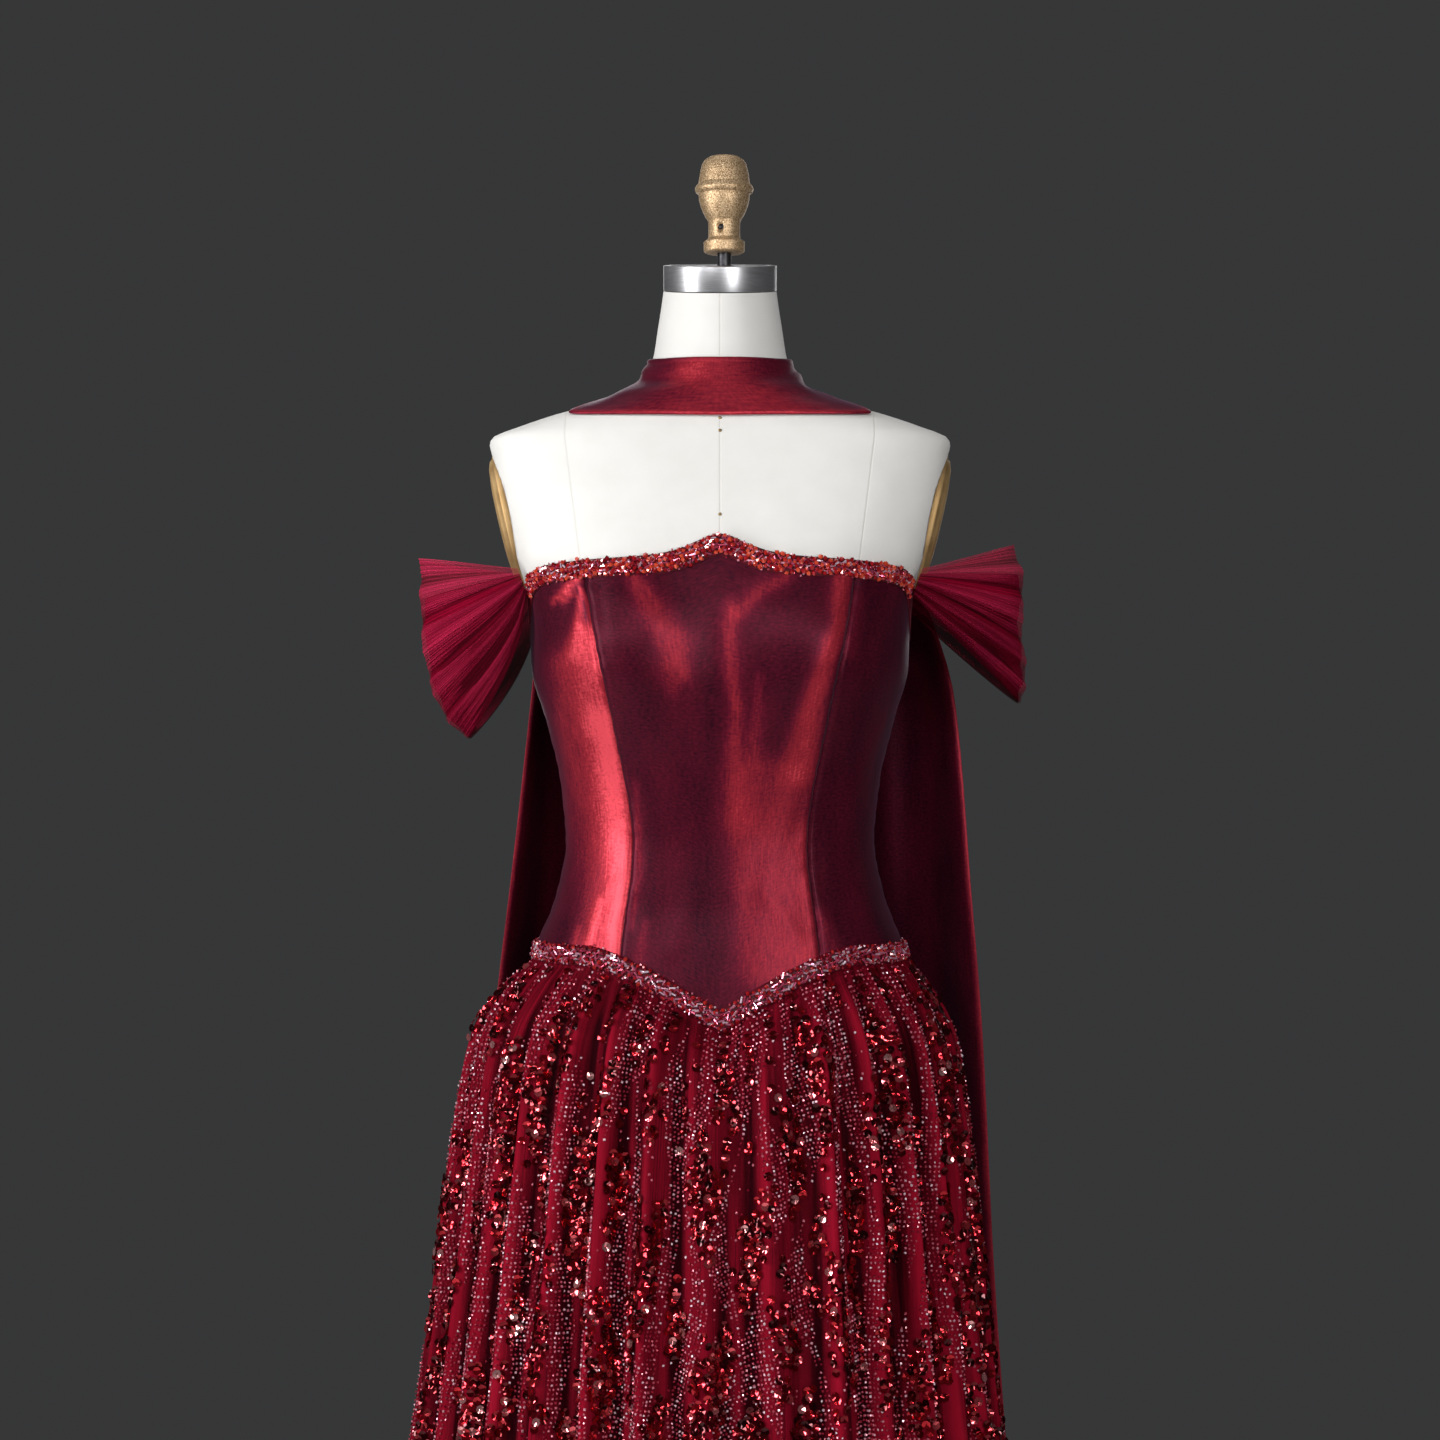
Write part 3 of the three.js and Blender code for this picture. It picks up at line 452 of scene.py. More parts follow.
class Paint:
    """A material with short ways to add nodes to it. A value may be another node's socket."""

    def __init__(self, name, **sockets):
        self.material = bpy.data.materials.new(name)
        self.material.use_nodes = True
        self.tree = self.material.node_tree
        self.shader = self.tree.nodes["Principled BSDF"]
        self.normal = None
        for key, value in sockets.items():
            self.shader.inputs[key.replace("_", " ").title().replace("Ior", "IOR")].default_value = value

    def put(self, kind, values=None, **settings):
        node = self.tree.nodes.new("ShaderNode" + kind)
        for key, value in settings.items():
            setattr(node, key, value)
        for key, value in (values or {}).items():
            if isinstance(value, bpy.types.NodeSocket):
                self.tree.links.new(value, node.inputs[key])
            else:
                node.inputs[key].default_value = value
        return node

    def link(self, socket, value):
        self.tree.links.new(value, self.shader.inputs[socket])

    def place(self):
        return self.put("TexCoord").outputs["Object"]

    def cloth_map(self):
        return self.put("UVMap", uv_map="cloth").outputs[0]

    def attribute(self, name):
        return self.put("Attribute", attribute_name=name).outputs["Fac"]

    def maths(self, operation, a, b=0.0):
        return self.put("Math", {0: a, 1: b}, operation=operation).outputs[0]

    def plus(self, a, b):
        return self.maths("ADD", a, b)

    def minus(self, a, b):
        return self.maths("SUBTRACT", a, b)

    def times(self, a, b):
        return self.maths("MULTIPLY", a, b)

    def carry(self, value, to_low, to_high, low=0.0, high=1.0):
        """Carry a value from one range to another."""
        values = {"Value": value, "From Min": low, "From Max": high, "To Min": to_low, "To Max": to_high}
        return self.put("MapRange", values).outputs[0]

    def noise(self, where, scale, detail=3.0, stretch=(1, 1, 1)):
        scaled = self.put("Mapping", {"Vector": where, "Scale": stretch}).outputs[0]
        return self.put("TexNoise", {"Vector": scaled, "Scale": scale, "Detail": detail}).outputs["Fac"]

    def wave(self, where, pitch, distortion, axis):
        values = {"Vector": where, "Scale": WAVE_REPEAT / pitch, "Distortion": distortion}
        return self.put("TexWave", values, bands_direction=axis).outputs["Fac"]

    def weave(self, where, pitch, axes=("X", "Y")):
        """Two sets of threads that cross."""
        return self.times(*(self.wave(where, pitch, 1.0, axis) for axis in axes))

    def ramp(self, share, *stops):
        """Colours along a share from 0 to 1: rows of position and colour."""
        node = self.put("ValToRGB", {"Fac": share})
        for _ in stops[2:]:
            node.color_ramp.elements.new(0.5)
        for element, (position, colour) in zip(node.color_ramp.elements, stops):
            element.position = position
            element.color = (*colour, 1)
        return node.outputs["Color"]

    def colour(self, share, *stops):
        self.link("Base Color", self.ramp(share, *stops))

    def bump(self, height, distance, strength=1.0):
        """Relief, on top of the relief that is there already."""
        values = {"Height": height, "Distance": distance, "Strength": strength}
        if self.normal is not None:
            values["Normal"] = self.normal
        self.normal = self.put("Bump", values).outputs[0]
        self.link("Normal", self.normal)


def taffeta_material():
    """Shot taffeta, red warp over a dark violet weft, with painted light: its fold attribute paints red
    highlights and plum and near-black shade.
    """
    sheen = {"sheen_weight": 0.12, "sheen_roughness": 0.4, "sheen_tint": (0.42, 0.38, 0.6, 1)}
    paint = Paint("taffeta_shot", metallic=0.35, specular_ior_level=0.1, **sheen)
    where = paint.cloth_map()
    slubs = paint.noise(where, 520, 4, (0.6, 1, 1))
    broad = paint.noise(where, 22, 3, (1.6, 0.5, 1))
    threads = paint.noise(where, 620, 4, (1, 0.11, 1))
    fold = paint.attribute("fold")
    # The threads break up the edge of a painted highlight more than its brightest part or the painted shade.
    edge = paint.times(fold, paint.minus(1.15, fold))
    frayed = paint.times(paint.minus(threads, 0.5), paint.plus(edge, 0.06))
    tone = paint.plus(paint.times(slubs, 0.6), paint.times(broad, 0.4))
    lit = paint.plus(paint.times(fold, 0.9), paint.times(frayed, 1.2))
    lit = paint.plus(lit, paint.times(paint.minus(tone, 0.28), 0.8))
    # Stops along the share of painted light: deep painted shade, the cloth's plum, red where a painted
    # highlight begins, and the brightest painted highlight.
    dark, plum = (0.03, 0.002, 0.009), (0.12, 0.006, 0.02)
    red, painted_highlight_red = (0.34, 0.02, 0.034), (0.74, 0.07, 0.095)
    paint.colour(lit, (0.1, dark), (0.4, plum), (0.75, red), (1, painted_highlight_red))
    paint.link("Roughness", paint.carry(tone, 0.32, 0.5))
    paint.bump(threads, 0.0003, 0.35)
    paint.bump(slubs, 0.0002, 0.5)
    return paint.material


def net_material(name, colour, dark, alpha, painted_light_share, pleats=0.0):
    """Fine net, too fine to see from a few steps away, so that it shows as a thin film.

    pleats is the height of the fine pressed pleats, which run across its map in bunches.
    """
    sheen = {"sheen_weight": 0.02, "sheen_roughness": 0.35, "sheen_tint": (0.9, 0.1, 0.25, 1)}
    paint = Paint(name, roughness=0.75, alpha=alpha, specular_ior_level=0.02, **sheen)
    where = paint.cloth_map()
    # The streaks are partly the net's own uneven tone and partly painted light along its fine folds and
    # pleats.
    streaks = paint.noise(where, 260, 4, (0.03, 1, 1) if pleats else (1, 0.03, 1))
    if pleats:
        lines = paint.wave(where, PLEAT_PITCH, 2.5, "Y")
        bunches = paint.carry(paint.noise(where, 34, 2, (0.3, 1, 1)), 0, 1, 0.42, 0.62)
        streaks = paint.plus(paint.times(streaks, 0.6), paint.times(paint.times(lines, bunches), 0.5))
    # Painted light: fold darkens the net in its valleys, a painted shade, and lightens its ridges, a painted
    # highlight.
    fold = paint.times(paint.attribute("fold"), painted_light_share)
    paint.colour(paint.plus(paint.times(streaks, 1 - painted_light_share), fold), (0.25, dark), (0.8, colour))
    paint.bump(paint.weave(where, NET_PITCH), 0.0002, 0.5)
    if pleats:
        paint.bump(streaks, pleats, 0.9)
    return paint.material


def lining_material():
    sheen = {"sheen_weight": 0.05, "sheen_tint": (0.8, 0.1, 0.2, 1)}
    paint = Paint("lining_satin", roughness=0.45, specular_ior_level=0.2, **sheen)
    where = paint.cloth_map()
    streaks = paint.noise(where, 60, 4, (1, 0.06, 1))
    paint.colour(streaks, (0.3, (0.03, 0.0005, 0.003)), (0.7, (0.12, 0.001, 0.01)))
    paint.bump(paint.weave(where, 0.0006), 0.0001, 0.3)
    return paint.material


def linen_material():
    paint = Paint("linen_cover", roughness=0.8, sheen_weight=0.15, specular_ior_level=0.3)
    where = paint.place()
    parts = paint.put("SeparateXYZ", {"Vector": where}).outputs
    out = paint.maths("ABSOLUTE", parts["X"])
    # A seam down the middle, and one on each side from the shoulder to the bust
    side_seam = paint.carry(parts["Z"], 0.110, 0.128, 1.25, 1.385)
    near = paint.maths("MINIMUM", out, paint.maths("ABSOLUTE", paint.minus(out, side_seam)))
    seam = paint.carry(near, 0, 1, 0.0002, 0.0011)
    grain = paint.noise(where, 40, 4)
    linen = paint.ramp(grain, (0.3, (0.75, 0.737, 0.705)), (0.7, (0.785, 0.772, 0.745)))
    shade = paint.put("Mix", {"Factor": seam, "A": (0.7, 0.68, 0.64, 1), "B": linen}, data_type="RGBA")
    paint.link("Base Color", shade.outputs["Result"])
    paint.bump(seam, 0.0004, 0.5)
    paint.bump(paint.weave(where, 0.0009, ("X", "Z")), 0.00012, 0.5)
    paint.bump(grain, 0.001, 0.1)
    return paint.material


def toned_material(name, metallic, roughness, coat, *stops):
    """A material for small parts, each with the colour that its own tone picks from the stops."""
    paint = Paint(name, metallic=metallic, roughness=roughness, coat_weight=coat)
    paint.colour(paint.attribute("tone"), *stops)
    return paint.material


def metal_material(name, metallic, dark, light, scale, rough, stretch=(1, 1, 1), relief=0.0002, strength=0.3):
    """A metal whose colour and roughness vary a little with a noise."""
    paint = Paint(name, metallic=metallic)
    grain = paint.noise(paint.place(), scale, 4, stretch)
    paint.colour(grain, (0.35, dark), (0.68, light))
    paint.link("Roughness", paint.carry(grain, *rough))
    paint.bump(grain, relief, strength)
    return paint.material


def grey(light, blue=0.0):
    return (light, light, light + blue)


TAFFETA = taffeta_material()
LINEN = linen_material()
LINING = lining_material()
SKIRT_NET = net_material("net_crimson", (0.3, 0.005, 0.02), (0.02, 0.0002, 0.002), 0.84, 0.5)
SLEEVE_NET = net_material("net_pleated", (0.9, 0.035, 0.13), (0.12, 0.0006, 0.01), 0.5, 0.5, 0.0012)
SLEEVE_LAYER = net_material(
    "net_pleated_under", (0.42, 0.003, 0.035), (0.035, 0.0002, 0.003), 0.86, 0.55, 0.001
)
# The sequins' own colours vary at random from near-black maroon to red; the coral and pale pink top stops are
# painted reflections and flashes.
SEQUIN = toned_material(
    "sequin_foil",
    0.85,
    0.11,
    0.3,
    (0.0, (0.03, 0.0004, 0.002)),
    (0.5, (0.19, 0.001, 0.006)),
    (0.85, (0.5, 0.008, 0.018)),
    (0.95, (0.75, 0.1, 0.12)),
    (1.0, (0.95, 0.45, 0.45)),
)
# The beads' own colours run from dark red to pink; the near-white top stop is a painted glint.
SEED = toned_material(
    "seed_bead_glass",
    0.3,
    0.22,
    0.6,
    (0.0, (0.2, 0.004, 0.02)),
    (0.45, (0.44, 0.03, 0.06)),
    (0.8, (0.74, 0.22, 0.3)),
    (1.0, (1.0, 0.8, 0.88)),
)
CRYSTAL = toned_material(
    "crystal_red",
    0.2,
    0.08,
    1.0,
    (0.0, (0.14, 0.002, 0.006)),
    (0.5, (0.4, 0.01, 0.014)),
    (1.0, (0.78, 0.1, 0.04)),
)
BUGLE = toned_material(
    "bugle_silver_lined",
    0.55,
    0.14,
    0.5,
    (0.0, (0.32, 0.01, 0.035)),
    (0.6, (0.58, 0.1, 0.2)),
    (1.0, (0.9, 0.72, 0.84)),
)
STEEL = metal_material(
    "cap_turned_steel", 0.9, grey(0.5, 0.02), grey(0.62, 0.02), 60, (0.28, 0.4), (1, 1, 30), strength=0.1
)
STUD = metal_material("stud_dark_steel", 0.8, grey(0.03, 0.005), grey(0.08, 0.005), 300, (0.3, 0.45))
BRASS = metal_material("arm_plate_aged_brass", 0.7, (0.46, 0.29, 0.12), (0.68, 0.46, 0.22), 45, (0.5, 0.66))
BRONZE = metal_material(
    "knob_speckled_bronze",
    0.6,
    (0.26, 0.14, 0.055),
    (0.92, 0.68, 0.42),
    900,
    (0.34, 0.5),
    relief=0.0006,
    strength=0.7,
)
PIN = metal_material("pin_brass", 0.9, (0.2, 0.13, 0.06), (0.4, 0.28, 0.12), 500, (0.3, 0.4))
IRON = metal_material("base_enamel", 0.2, grey(0.02, 0.002), grey(0.05, 0.005), 120, (0.3, 0.5))
POLE = metal_material("pole_polished", 1.0, grey(0.5, 0.02), grey(0.66, 0.02), 50, (0.1, 0.2), (1, 1, 0.05))


def dress_piece(piece, material, slot, *nodes):
    """Give a piece its material and hide the solids that it stands for. The slot is not used."""
    piece.data.materials.clear()
    piece.data.materials.append(material)
    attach(piece, "root")
    if nodes:
        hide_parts(*nodes)
    return piece


# The form and its stand
CAP = {"radius": 48, "height": 21.5, "bevel": 1.5, "bottom": 1514, "centre_y": -4, "tilt": 10}
STUD_AT = {"radius": 6, "bottom": 1522, "top": 1551, "centre_x": 3.6}
NECK_START = 1455
ARM_PLATE = {"half_wide": 46, "half_tall": 59, "out": 177.5, "height": 1320, "back": 8, "lean": 13}
# Two pockets in the cover, for the plate and round its rim: half width, half height and floor
PLATE_POCKETS = ((46.3, 59.3, -7), (58, 59.6, -4))


def make_torso():
    columns = np.arange(0, COLUMNS, 1 / 4)
    slope = math.tan(math.radians(CAP["tilt"]))
    # The cover ends in a slope under the cap, which a few steps settle on.
    top = 1505.0 + 0 * columns
    for _ in range(4):
        y = form_point(column_angle(columns, top), top)[:, 1]
        top = CAP["bottom"] + slope * (y - CAP["centre_y"]) - SEAM_GAP
    levels = [mix(top, NECK_START, share) for share in np.linspace(0, 0.9, 8)]
    below = np.concatenate([np.linspace(NECK_START, 1340, 34), np.linspace(1330, FORM_BOTTOM, 36)])
    levels += [z + 0 * columns for z in below]
    rows = [form_point(column_angle(columns, z), z) for z in levels]
    rows.append(rows[-1] * [0, 0, 1])
    piece = grid_object("torso_cover", np.array(rows), ring=True)
    weld(piece)
    for side in (-1, 1):
        for wide, tall, floor in PLATE_POCKETS:
            pocket = [(0, floor), (1 / MM, floor), (1 / MM, 30), (0, 30)]
            carve(piece, lathe("plate_pocket", pocket, 96, transform=arm_plate_place(side, wide, tall)))
    return dress_piece(piece, LINEN, "linen", "form_torso")


def arm_plate_place(side, half_wide=ARM_PLATE["half_wide"], half_tall=ARM_PLATE["half_tall"]):
    """From a unit disc across Z to an arm plate's place, with its dome away from the body."""
    size = Matrix.Diagonal((1, half_wide * MM, half_tall * MM, 1))
    place = moved(0, ARM_PLATE["back"], 0) @ rotated(180 if side < 0 else 0, "Z")
    place = place @ moved(ARM_PLATE["out"], 0, ARM_PLATE["height"]) @ rotated(ARM_PLATE["lean"], "Y")
    return place @ size @ rotated(90, "Y")


def make_arm_plates():
    outline = [(0, -6), (1, -6), (1, 2.2), (0.985, 3.4), (0.955, 4), (0.93, 3.8), (0.9, 6.6), (0.8, 8.6)]
    outline += [(0.62, 9.8), (0.4, 10.3), (0.15, 10.5), (0, 10.5)]
    for name, side in (("left", -1), ("right", 1)):
        rows = [(r / MM, x) for r, x in outline]
        piece = lathe(f"arm_plate_{name}_disc", rows, 96, transform=arm_plate_place(side))
        dress_piece(piece, BRASS, "arm_plate_brass", f"form_arm_plate_{name}")


KNOB_BOTTOM = 1546
KNOB_OUTLINE = [(0, 0), (15.5, 0), (17.3, 1.5), (17.5, 9.5), (14.4, 11.5), (13.5, 13), (13.4, 20), (13.6, 27)]
KNOB_OUTLINE += [(15.5, 30), (17.8, 34), (20, 39.5), (21.4, 45), (21.8, 50), (24, 51.5), (25, 54)]
KNOB_OUTLINE += [(24.2, 56.5), (22, 59), (20.6, 68), (19, 75), (16.6, 79), (12, 81.8), (6, 83), (0, 83.4)]
SCREW_HOLE = {"radius": 2.9, "bottom_out": 7, "up": 20.8, "turn": -14}
PIN_HEIGHTS = (1399.2, 1388.5, 1318.0)


def carve(piece, cutter):
    cutter.hide_render = True
    apply_modifier(piece, "BOOLEAN", operation="DIFFERENCE", solver="EXACT", object=cutter)
    bpy.data.objects.remove(cutter)


def make_neck_fittings():
    tilt = moved(0, CAP["centre_y"], CAP["bottom"]) @ rotated(CAP["tilt"], "X")
    r, h = CAP["radius"], CAP["height"]
    outline = [(0, 0), (r, 0), (r, h), (r - 6, h), (r - 7, h - 0.7), (12, h - 0.7), (11, h), (0, h)]
    cap = lathe("neck_cap_turned", outline, 160, rounded=0.7, transform=tilt)
    dress_piece(cap, STEEL, "cap_steel", "form_neck_cap")

    at = moved(STUD_AT["centre_x"], CAP["centre_y"], 0)
    low, high, r = STUD_AT["bottom"], STUD_AT["top"], STUD_AT["radius"]
    rows = [(0, low), (r, low)] + [(r - 0.5 * (i % 2), low + 4 + i) for i in range(int(high - low - 4))]
    stud = lathe("neck_stud_threaded", rows + [(r, high), (0, high)], 64, transform=at)
    dress_piece(stud, STUD, "stud_steel", "form_neck_stud")

    up = moved(STUD_AT["centre_x"], CAP["centre_y"], KNOB_BOTTOM)
    knob = lathe("neck_knob_turned", KNOB_OUTLINE, 96, rounded=0.5, transform=up)
    hole_at = up @ moved(0, 0, SCREW_HOLE["up"]) @ rotated(SCREW_HOLE["turn"], "Z") @ rotated(90, "X")
    hole_at = hole_at @ moved(0, 0, SCREW_HOLE["bottom_out"])
    r = SCREW_HOLE["radius"]
    carve(knob, lathe("screw_hole", [(0, 0), (r, 0), (r, 12), (0, 12)], 32, transform=hole_at))
    dress_piece(knob, BRONZE, "knob_bronze", "form_neck_knob")
    outline = [(0, 0.1), (r - 0.1, 0.1), (r - 0.1, 3), (2, 3.4), (1.4, 1.6), (0, 1.6)]
    dress_piece(lathe("knob_set_screw", outline, 24, transform=hole_at), STUD, "stud_steel")

    outline = [(0, -2), (0.7, -2), (0.7, 0), (1.4, 0.1), (1.3, 0.6), (0.7, 1.0), (0, 1.1)]
    for i, z in enumerate(PIN_HEIGHTS):
        x, y, _ = form_point(np.array(3 * TURN / 4), np.array(z))
        face = moved(x, y, z) @ rotated(98, "X")
        dress_piece(lathe(f"cover_pin_{i + 1}", outline, 20, transform=face), PIN, "stud_steel")


def make_stand():
    base = [(0, 0), (188, 0), (190, 2), (190, 9), (187, 12), (160, 18), (110, 21), (34, 24), (29, 27)]
    base += [(26, 33), (26, 43), (24, 45), (0, 45)]
    dress_piece(lathe("stand_base_cast", base, 128, rounded=0.8), IRON, "stand_iron", "stand_base")
    pole = [(0, 45.3), (12.5, 45.3), (12.5, 52), (12.1, 52.6), (12.5, 53.2), (12.5, 814.7), (0, 814.7)]
    dress_piece(lathe("stand_pole_tube", pole, 64, rounded=0.4), POLE, "pole_steel", "stand_pole")


make_torso()
make_arm_plates()
make_neck_fittings()
make_stand()


# The bodice

# Creases that pull from the seams and the neckline: from x, z to x, z, with their width and height.
CREASES = [
    (-116, 1266, -137, 1247, 4, 1.6),
    (-113, 1258, -121, 1200, 5, 1.5),
    (-104, 1254, -95, 1190, 4, 1.4),
    (-108, 955, -99, 1003, 4, 1.2),
    (100, 1266, 84, 1195, 8, 1.2),
    (7, 1252, 12, 1120, 7, 1.2),
    (118, 1262, 104, 1185, 6, 1.4),
    (98, 1262, 92, 1210, 5, 0.9),
    (-62, 1262, -42, 1190, 14, 1.5),
    (-78, 1250, -20, 1205, 10, 0.8),
    (66, 1262, 22, 1190, 15, 1.4),
    (20, 1262, 14, 1160, 9, 1.3),
    (-84, 985, -60, 1030, 6, 0.9),
    (-98, 985, -86, 1030, 5, 0.8),
    (86, 985, 62, 1035, 7, 0.9),
    (60, 975, 30, 1020, 7, 0.8),
    (-40, 960, -22, 1010, 6, 0.7),
]


def crease_height(x, z):
    """How far the creases lift the cloth at each place of the front."""
    lift = 0 * x
    for *line, width, height in CREASES:
        near, away = to_line(x, z, *line)
        lift = lift + height * bell(away, width) * smooth(1.3 - near)
    return lift


# Painted highlights on each front panel: red streaks painted where the taffeta would catch the light. Each
# has its strength, how hard its edge is, and its path: x, z and half width.
LEFT_PAINTED_HIGHLIGHTS = [
    (0.75, 2, (-137, 1247, 3), (-126, 1257, 4), (-116, 1266, 4)),
    (0.6, 2, (-128, 1246, 2.5), (-121, 1253, 3)),
    (0.7, 2, (-113, 1257, 2.5), (-115, 1236, 4), (-119, 1205, 8)),
    (0.75, 2, (-105, 1251, 2.5), (-102, 1222, 4), (-95, 1190, 6)),
    (0.45, 2, (-128, 1195, 14), (-114, 1120, 24), (-98, 1020, 22), (-104, 962, 14)),
    (0.72, 2, (-111, 1224, 5), (-107, 1196, 14), (-98, 1155, 19)),
    (0.93, 2, (-97, 1150, 13), (-88, 1105, 18), (-82, 1060, 16), (-80, 1020, 13), (-87, 955, 12)),
    (0.7, 2, (-110, 958, 5), (-104, 985, 4), (-99, 1003, 2.5)),
    (0.45, 2, (-122, 958, 4), (-117, 978, 2.5)),
]
CENTRE_PAINTED_HIGHLIGHTS = [
    (0.4, 3, (-70, 1264, 7), (-54, 1240, 13), (-38, 1212, 16), (-32, 1188, 10)),
    (0.22, 2, (-46, 1190, 12), (-38, 1172, 6)),
    (0.42, 2, (6, 1254, 2), (7, 1228, 7), (9, 1188, 7), (14, 1155, 6), (11, 1130, 8), (16, 1070, 16)),
    (0.4, 2, (56, 1267, 6), (32, 1254, 7), (14, 1236, 6)),
    (0.3, 2, (32, 1186, 3), (30, 1160, 5), (27, 1115, 8)),
    (0.56, 2.5, (100, 1268, 9), (98, 1248, 9), (97, 1227, 7.5), (86, 1198, 9), (74, 1158, 11),
     (64, 1110, 16)),
    (0.38, 5, (43, 1088, 33), (42, 1050, 38), (50, 955, 36)),
    (0.25, 2, (68, 1060, 14), (74, 950, 12)),
    (0.3, 2, (-69, 1100, 2), (-66, 1030, 4), (-72, 980, 2)),
    (0.25, 2, (-66, 955, 6), (-61, 985, 3)),
]
RIGHT_PAINTED_HIGHLIGHTS = [
    (0.2, 2, (112, 1250, 6), (106, 1205, 6)),
    (0.25, 2, (84, 990, 6), (92, 955, 9)),
]
PAINTED_HIGHLIGHTS = {
    "bodice_side_front_left": LEFT_PAINTED_HIGHLIGHTS,
    "bodice_front_centre": CENTRE_PAINTED_HIGHLIGHTS,
    "bodice_side_front_right": RIGHT_PAINTED_HIGHLIGHTS,
}


def painted_highlight_share(name, x, z):
    """How much painted highlight a panel has at each place, from 0 for plum to 1 for full red."""
    plum = 0 * x + 0.95
    for strength, edge, *path in PAINTED_HIGHLIGHTS.get(name, ()):
        nearest = 0 * x + 9
        for (x0, z0, w0), (x1, z1, w1) in zip(path, path[1:]):
            near, away = to_line(x, z, x0, z0, x1, z1)
            nearest = np.minimum(nearest, away / mix(w0, w1, near))
        plum = plum * (1 - strength * np.exp(-(nearest**edge)))
    return 1 - plum


def bodice_surface(column, v, start, end):
    """The outside of the bodice, drawn in along the seams at both ends of its panel."""
    flat = bodice_point(column, v, BODICE_OUT)
    first = np.linalg.norm(flat - bodice_point(0 * column + start, v, BODICE_OUT), axis=-1)
    last = np.linalg.norm(flat - bodice_point(0 * column + end, v, BODICE_OUT), axis=-1)
    near = np.minimum(first, last)
    ends = smooth(v / 0.05) * smooth((1 - v) / 0.05)
    seam = -0.7 * bell(near, 1.3) + 0.4 * bell(near, 3, 4)
    pucker = 0.35 * bell(near, 9) * np.sin(v * 95 + 1.7 * np.sin(v * 31 + column))
    waves = 0.5 * np.sin(column * 1.9 + 2.5 * np.sin(v * 9 + column * 0.4)) * np.sin(v * 7 + column * 0.8)
    front = np.where(flat[..., 1] < 0, crease_height(flat[..., 0], flat[..., 2]), 0)
    return bodice_point(column, v, BODICE_OUT + ends * (seam + pucker + 0.6 * waves + front))


# The gap between two panels, in columns
PANEL_GAP = 0.02
PLACKET = {"half_width": 11, "clear": 1.2, "end_gap": 0.012, "rows": 90, "columns": 17}


def make_bodice():
    rows = np.linspace(0, 1, 85)[:, None]
    for name, (start, end) in PANELS.items():
        count = (end - start) * 5
        columns = np.linspace(start + PANEL_GAP / 2, end - PANEL_GAP / 2, count + 1)[None]
        points = bodice_surface(*np.broadcast_arrays(columns, rows), start, end)
        # Painted light: the front panels take their painted highlights, the back panels gentle waves of
        # painted highlight and painted shade.
        fold = painted_highlight_share(name, points[..., 0], points[..., 2])
        if name not in PAINTED_HIGHLIGHTS:
            sway = np.sin(columns * 0.9 + 1.2 * np.sin(5 * rows))
            fold = 0.28 + 0.22 * sway * np.sin(3 * rows + columns * 0.3)
        piece = cloth(name + "_taffeta", points, thickness=0.8, fold=fold)
        dress_piece(piece, TAFFETA, "taffeta", name)

    top = NECKLINE_TRIM_WIDTH / BODICE_LENGTH + PLACKET["end_gap"]
    bottom = 1 - WAIST_TRIM_WIDTH / 2 / BODICE_LENGTH - PLACKET["end_gap"]
    rows = np.linspace(top, bottom, PLACKET["rows"])[:, None]
    across = np.linspace(1, -1, PLACKET["columns"])[None]
    base = bodice_point(PANEL_EDGES[1] + 0 * rows, rows, BODICE_OUT + SEAM_GAP + PLACKET["clear"])
    points = np.broadcast_to(base, (PLACKET["rows"], PLACKET["columns"], 3)).copy()
    points[..., 0] = across * PLACKET["half_width"]
    points[..., 1] -= 0.7 * np.abs(across) ** 8 + 0.25 * bell(np.abs(across), 0.07, 0.75)
    placket = cloth("back_placket_taffeta", points, thickness=0.8, fold=0.3)
    dress_piece(placket, TAFFETA, "taffeta", "bodice_back_placket")


make_bodice()


# Beads and sequins, each about 1 in radius or half length
def spokes(sides, radius=1.0):
    return [(radius * math.cos(i * TURN / sides), radius * math.sin(i * TURN / sides)) for i in range(sides)]


BICONE = [(0, 0, 1), (0, 0, -1)] + [(x, y, 0) for x, y in spokes(6)]
BICONE_FACES = [(0, 2 + i, 2 + (i + 1) % 6) for i in range(6)]
BICONE_FACES += [(1, 2 + (i + 1) % 6, 2 + i) for i in range(6)]
SEED_SHAPE = [(x, y, -0.3) for x, y in spokes(4)] + [(0, 0, 0.7)]
SEED_FACES = [(i, (i + 1) % 4, 4) for i in range(4)]
BUGLE_SHAPE = [(end, y, z) for end in (-1, 1) for y, z in spokes(5, 0.34)]
BUGLE_FACES = [(i, 5 + i, 5 + (i + 1) % 5) for i in range(5)]
BUGLE_FACES += [(i, 5 + (i + 1) % 5, (i + 1) % 5) for i in range(5)]
BUGLE_FACES += [(0, i + 1, i + 2) for i in range(3)] + [(5, 7 + i, 6 + i) for i in range(3)]
# A cupped disc with a hole
SEQUIN_SHAPE = [(x, y, z) for radius, z in ((0.14, -0.1), (1.0, 0.1)) for x, y in spokes(7, radius)]
SEQUIN_FACES = [(i, 7 + i, 7 + (i + 1) % 7, (i + 1) % 7) for i in range(7)]


# Beaded trims

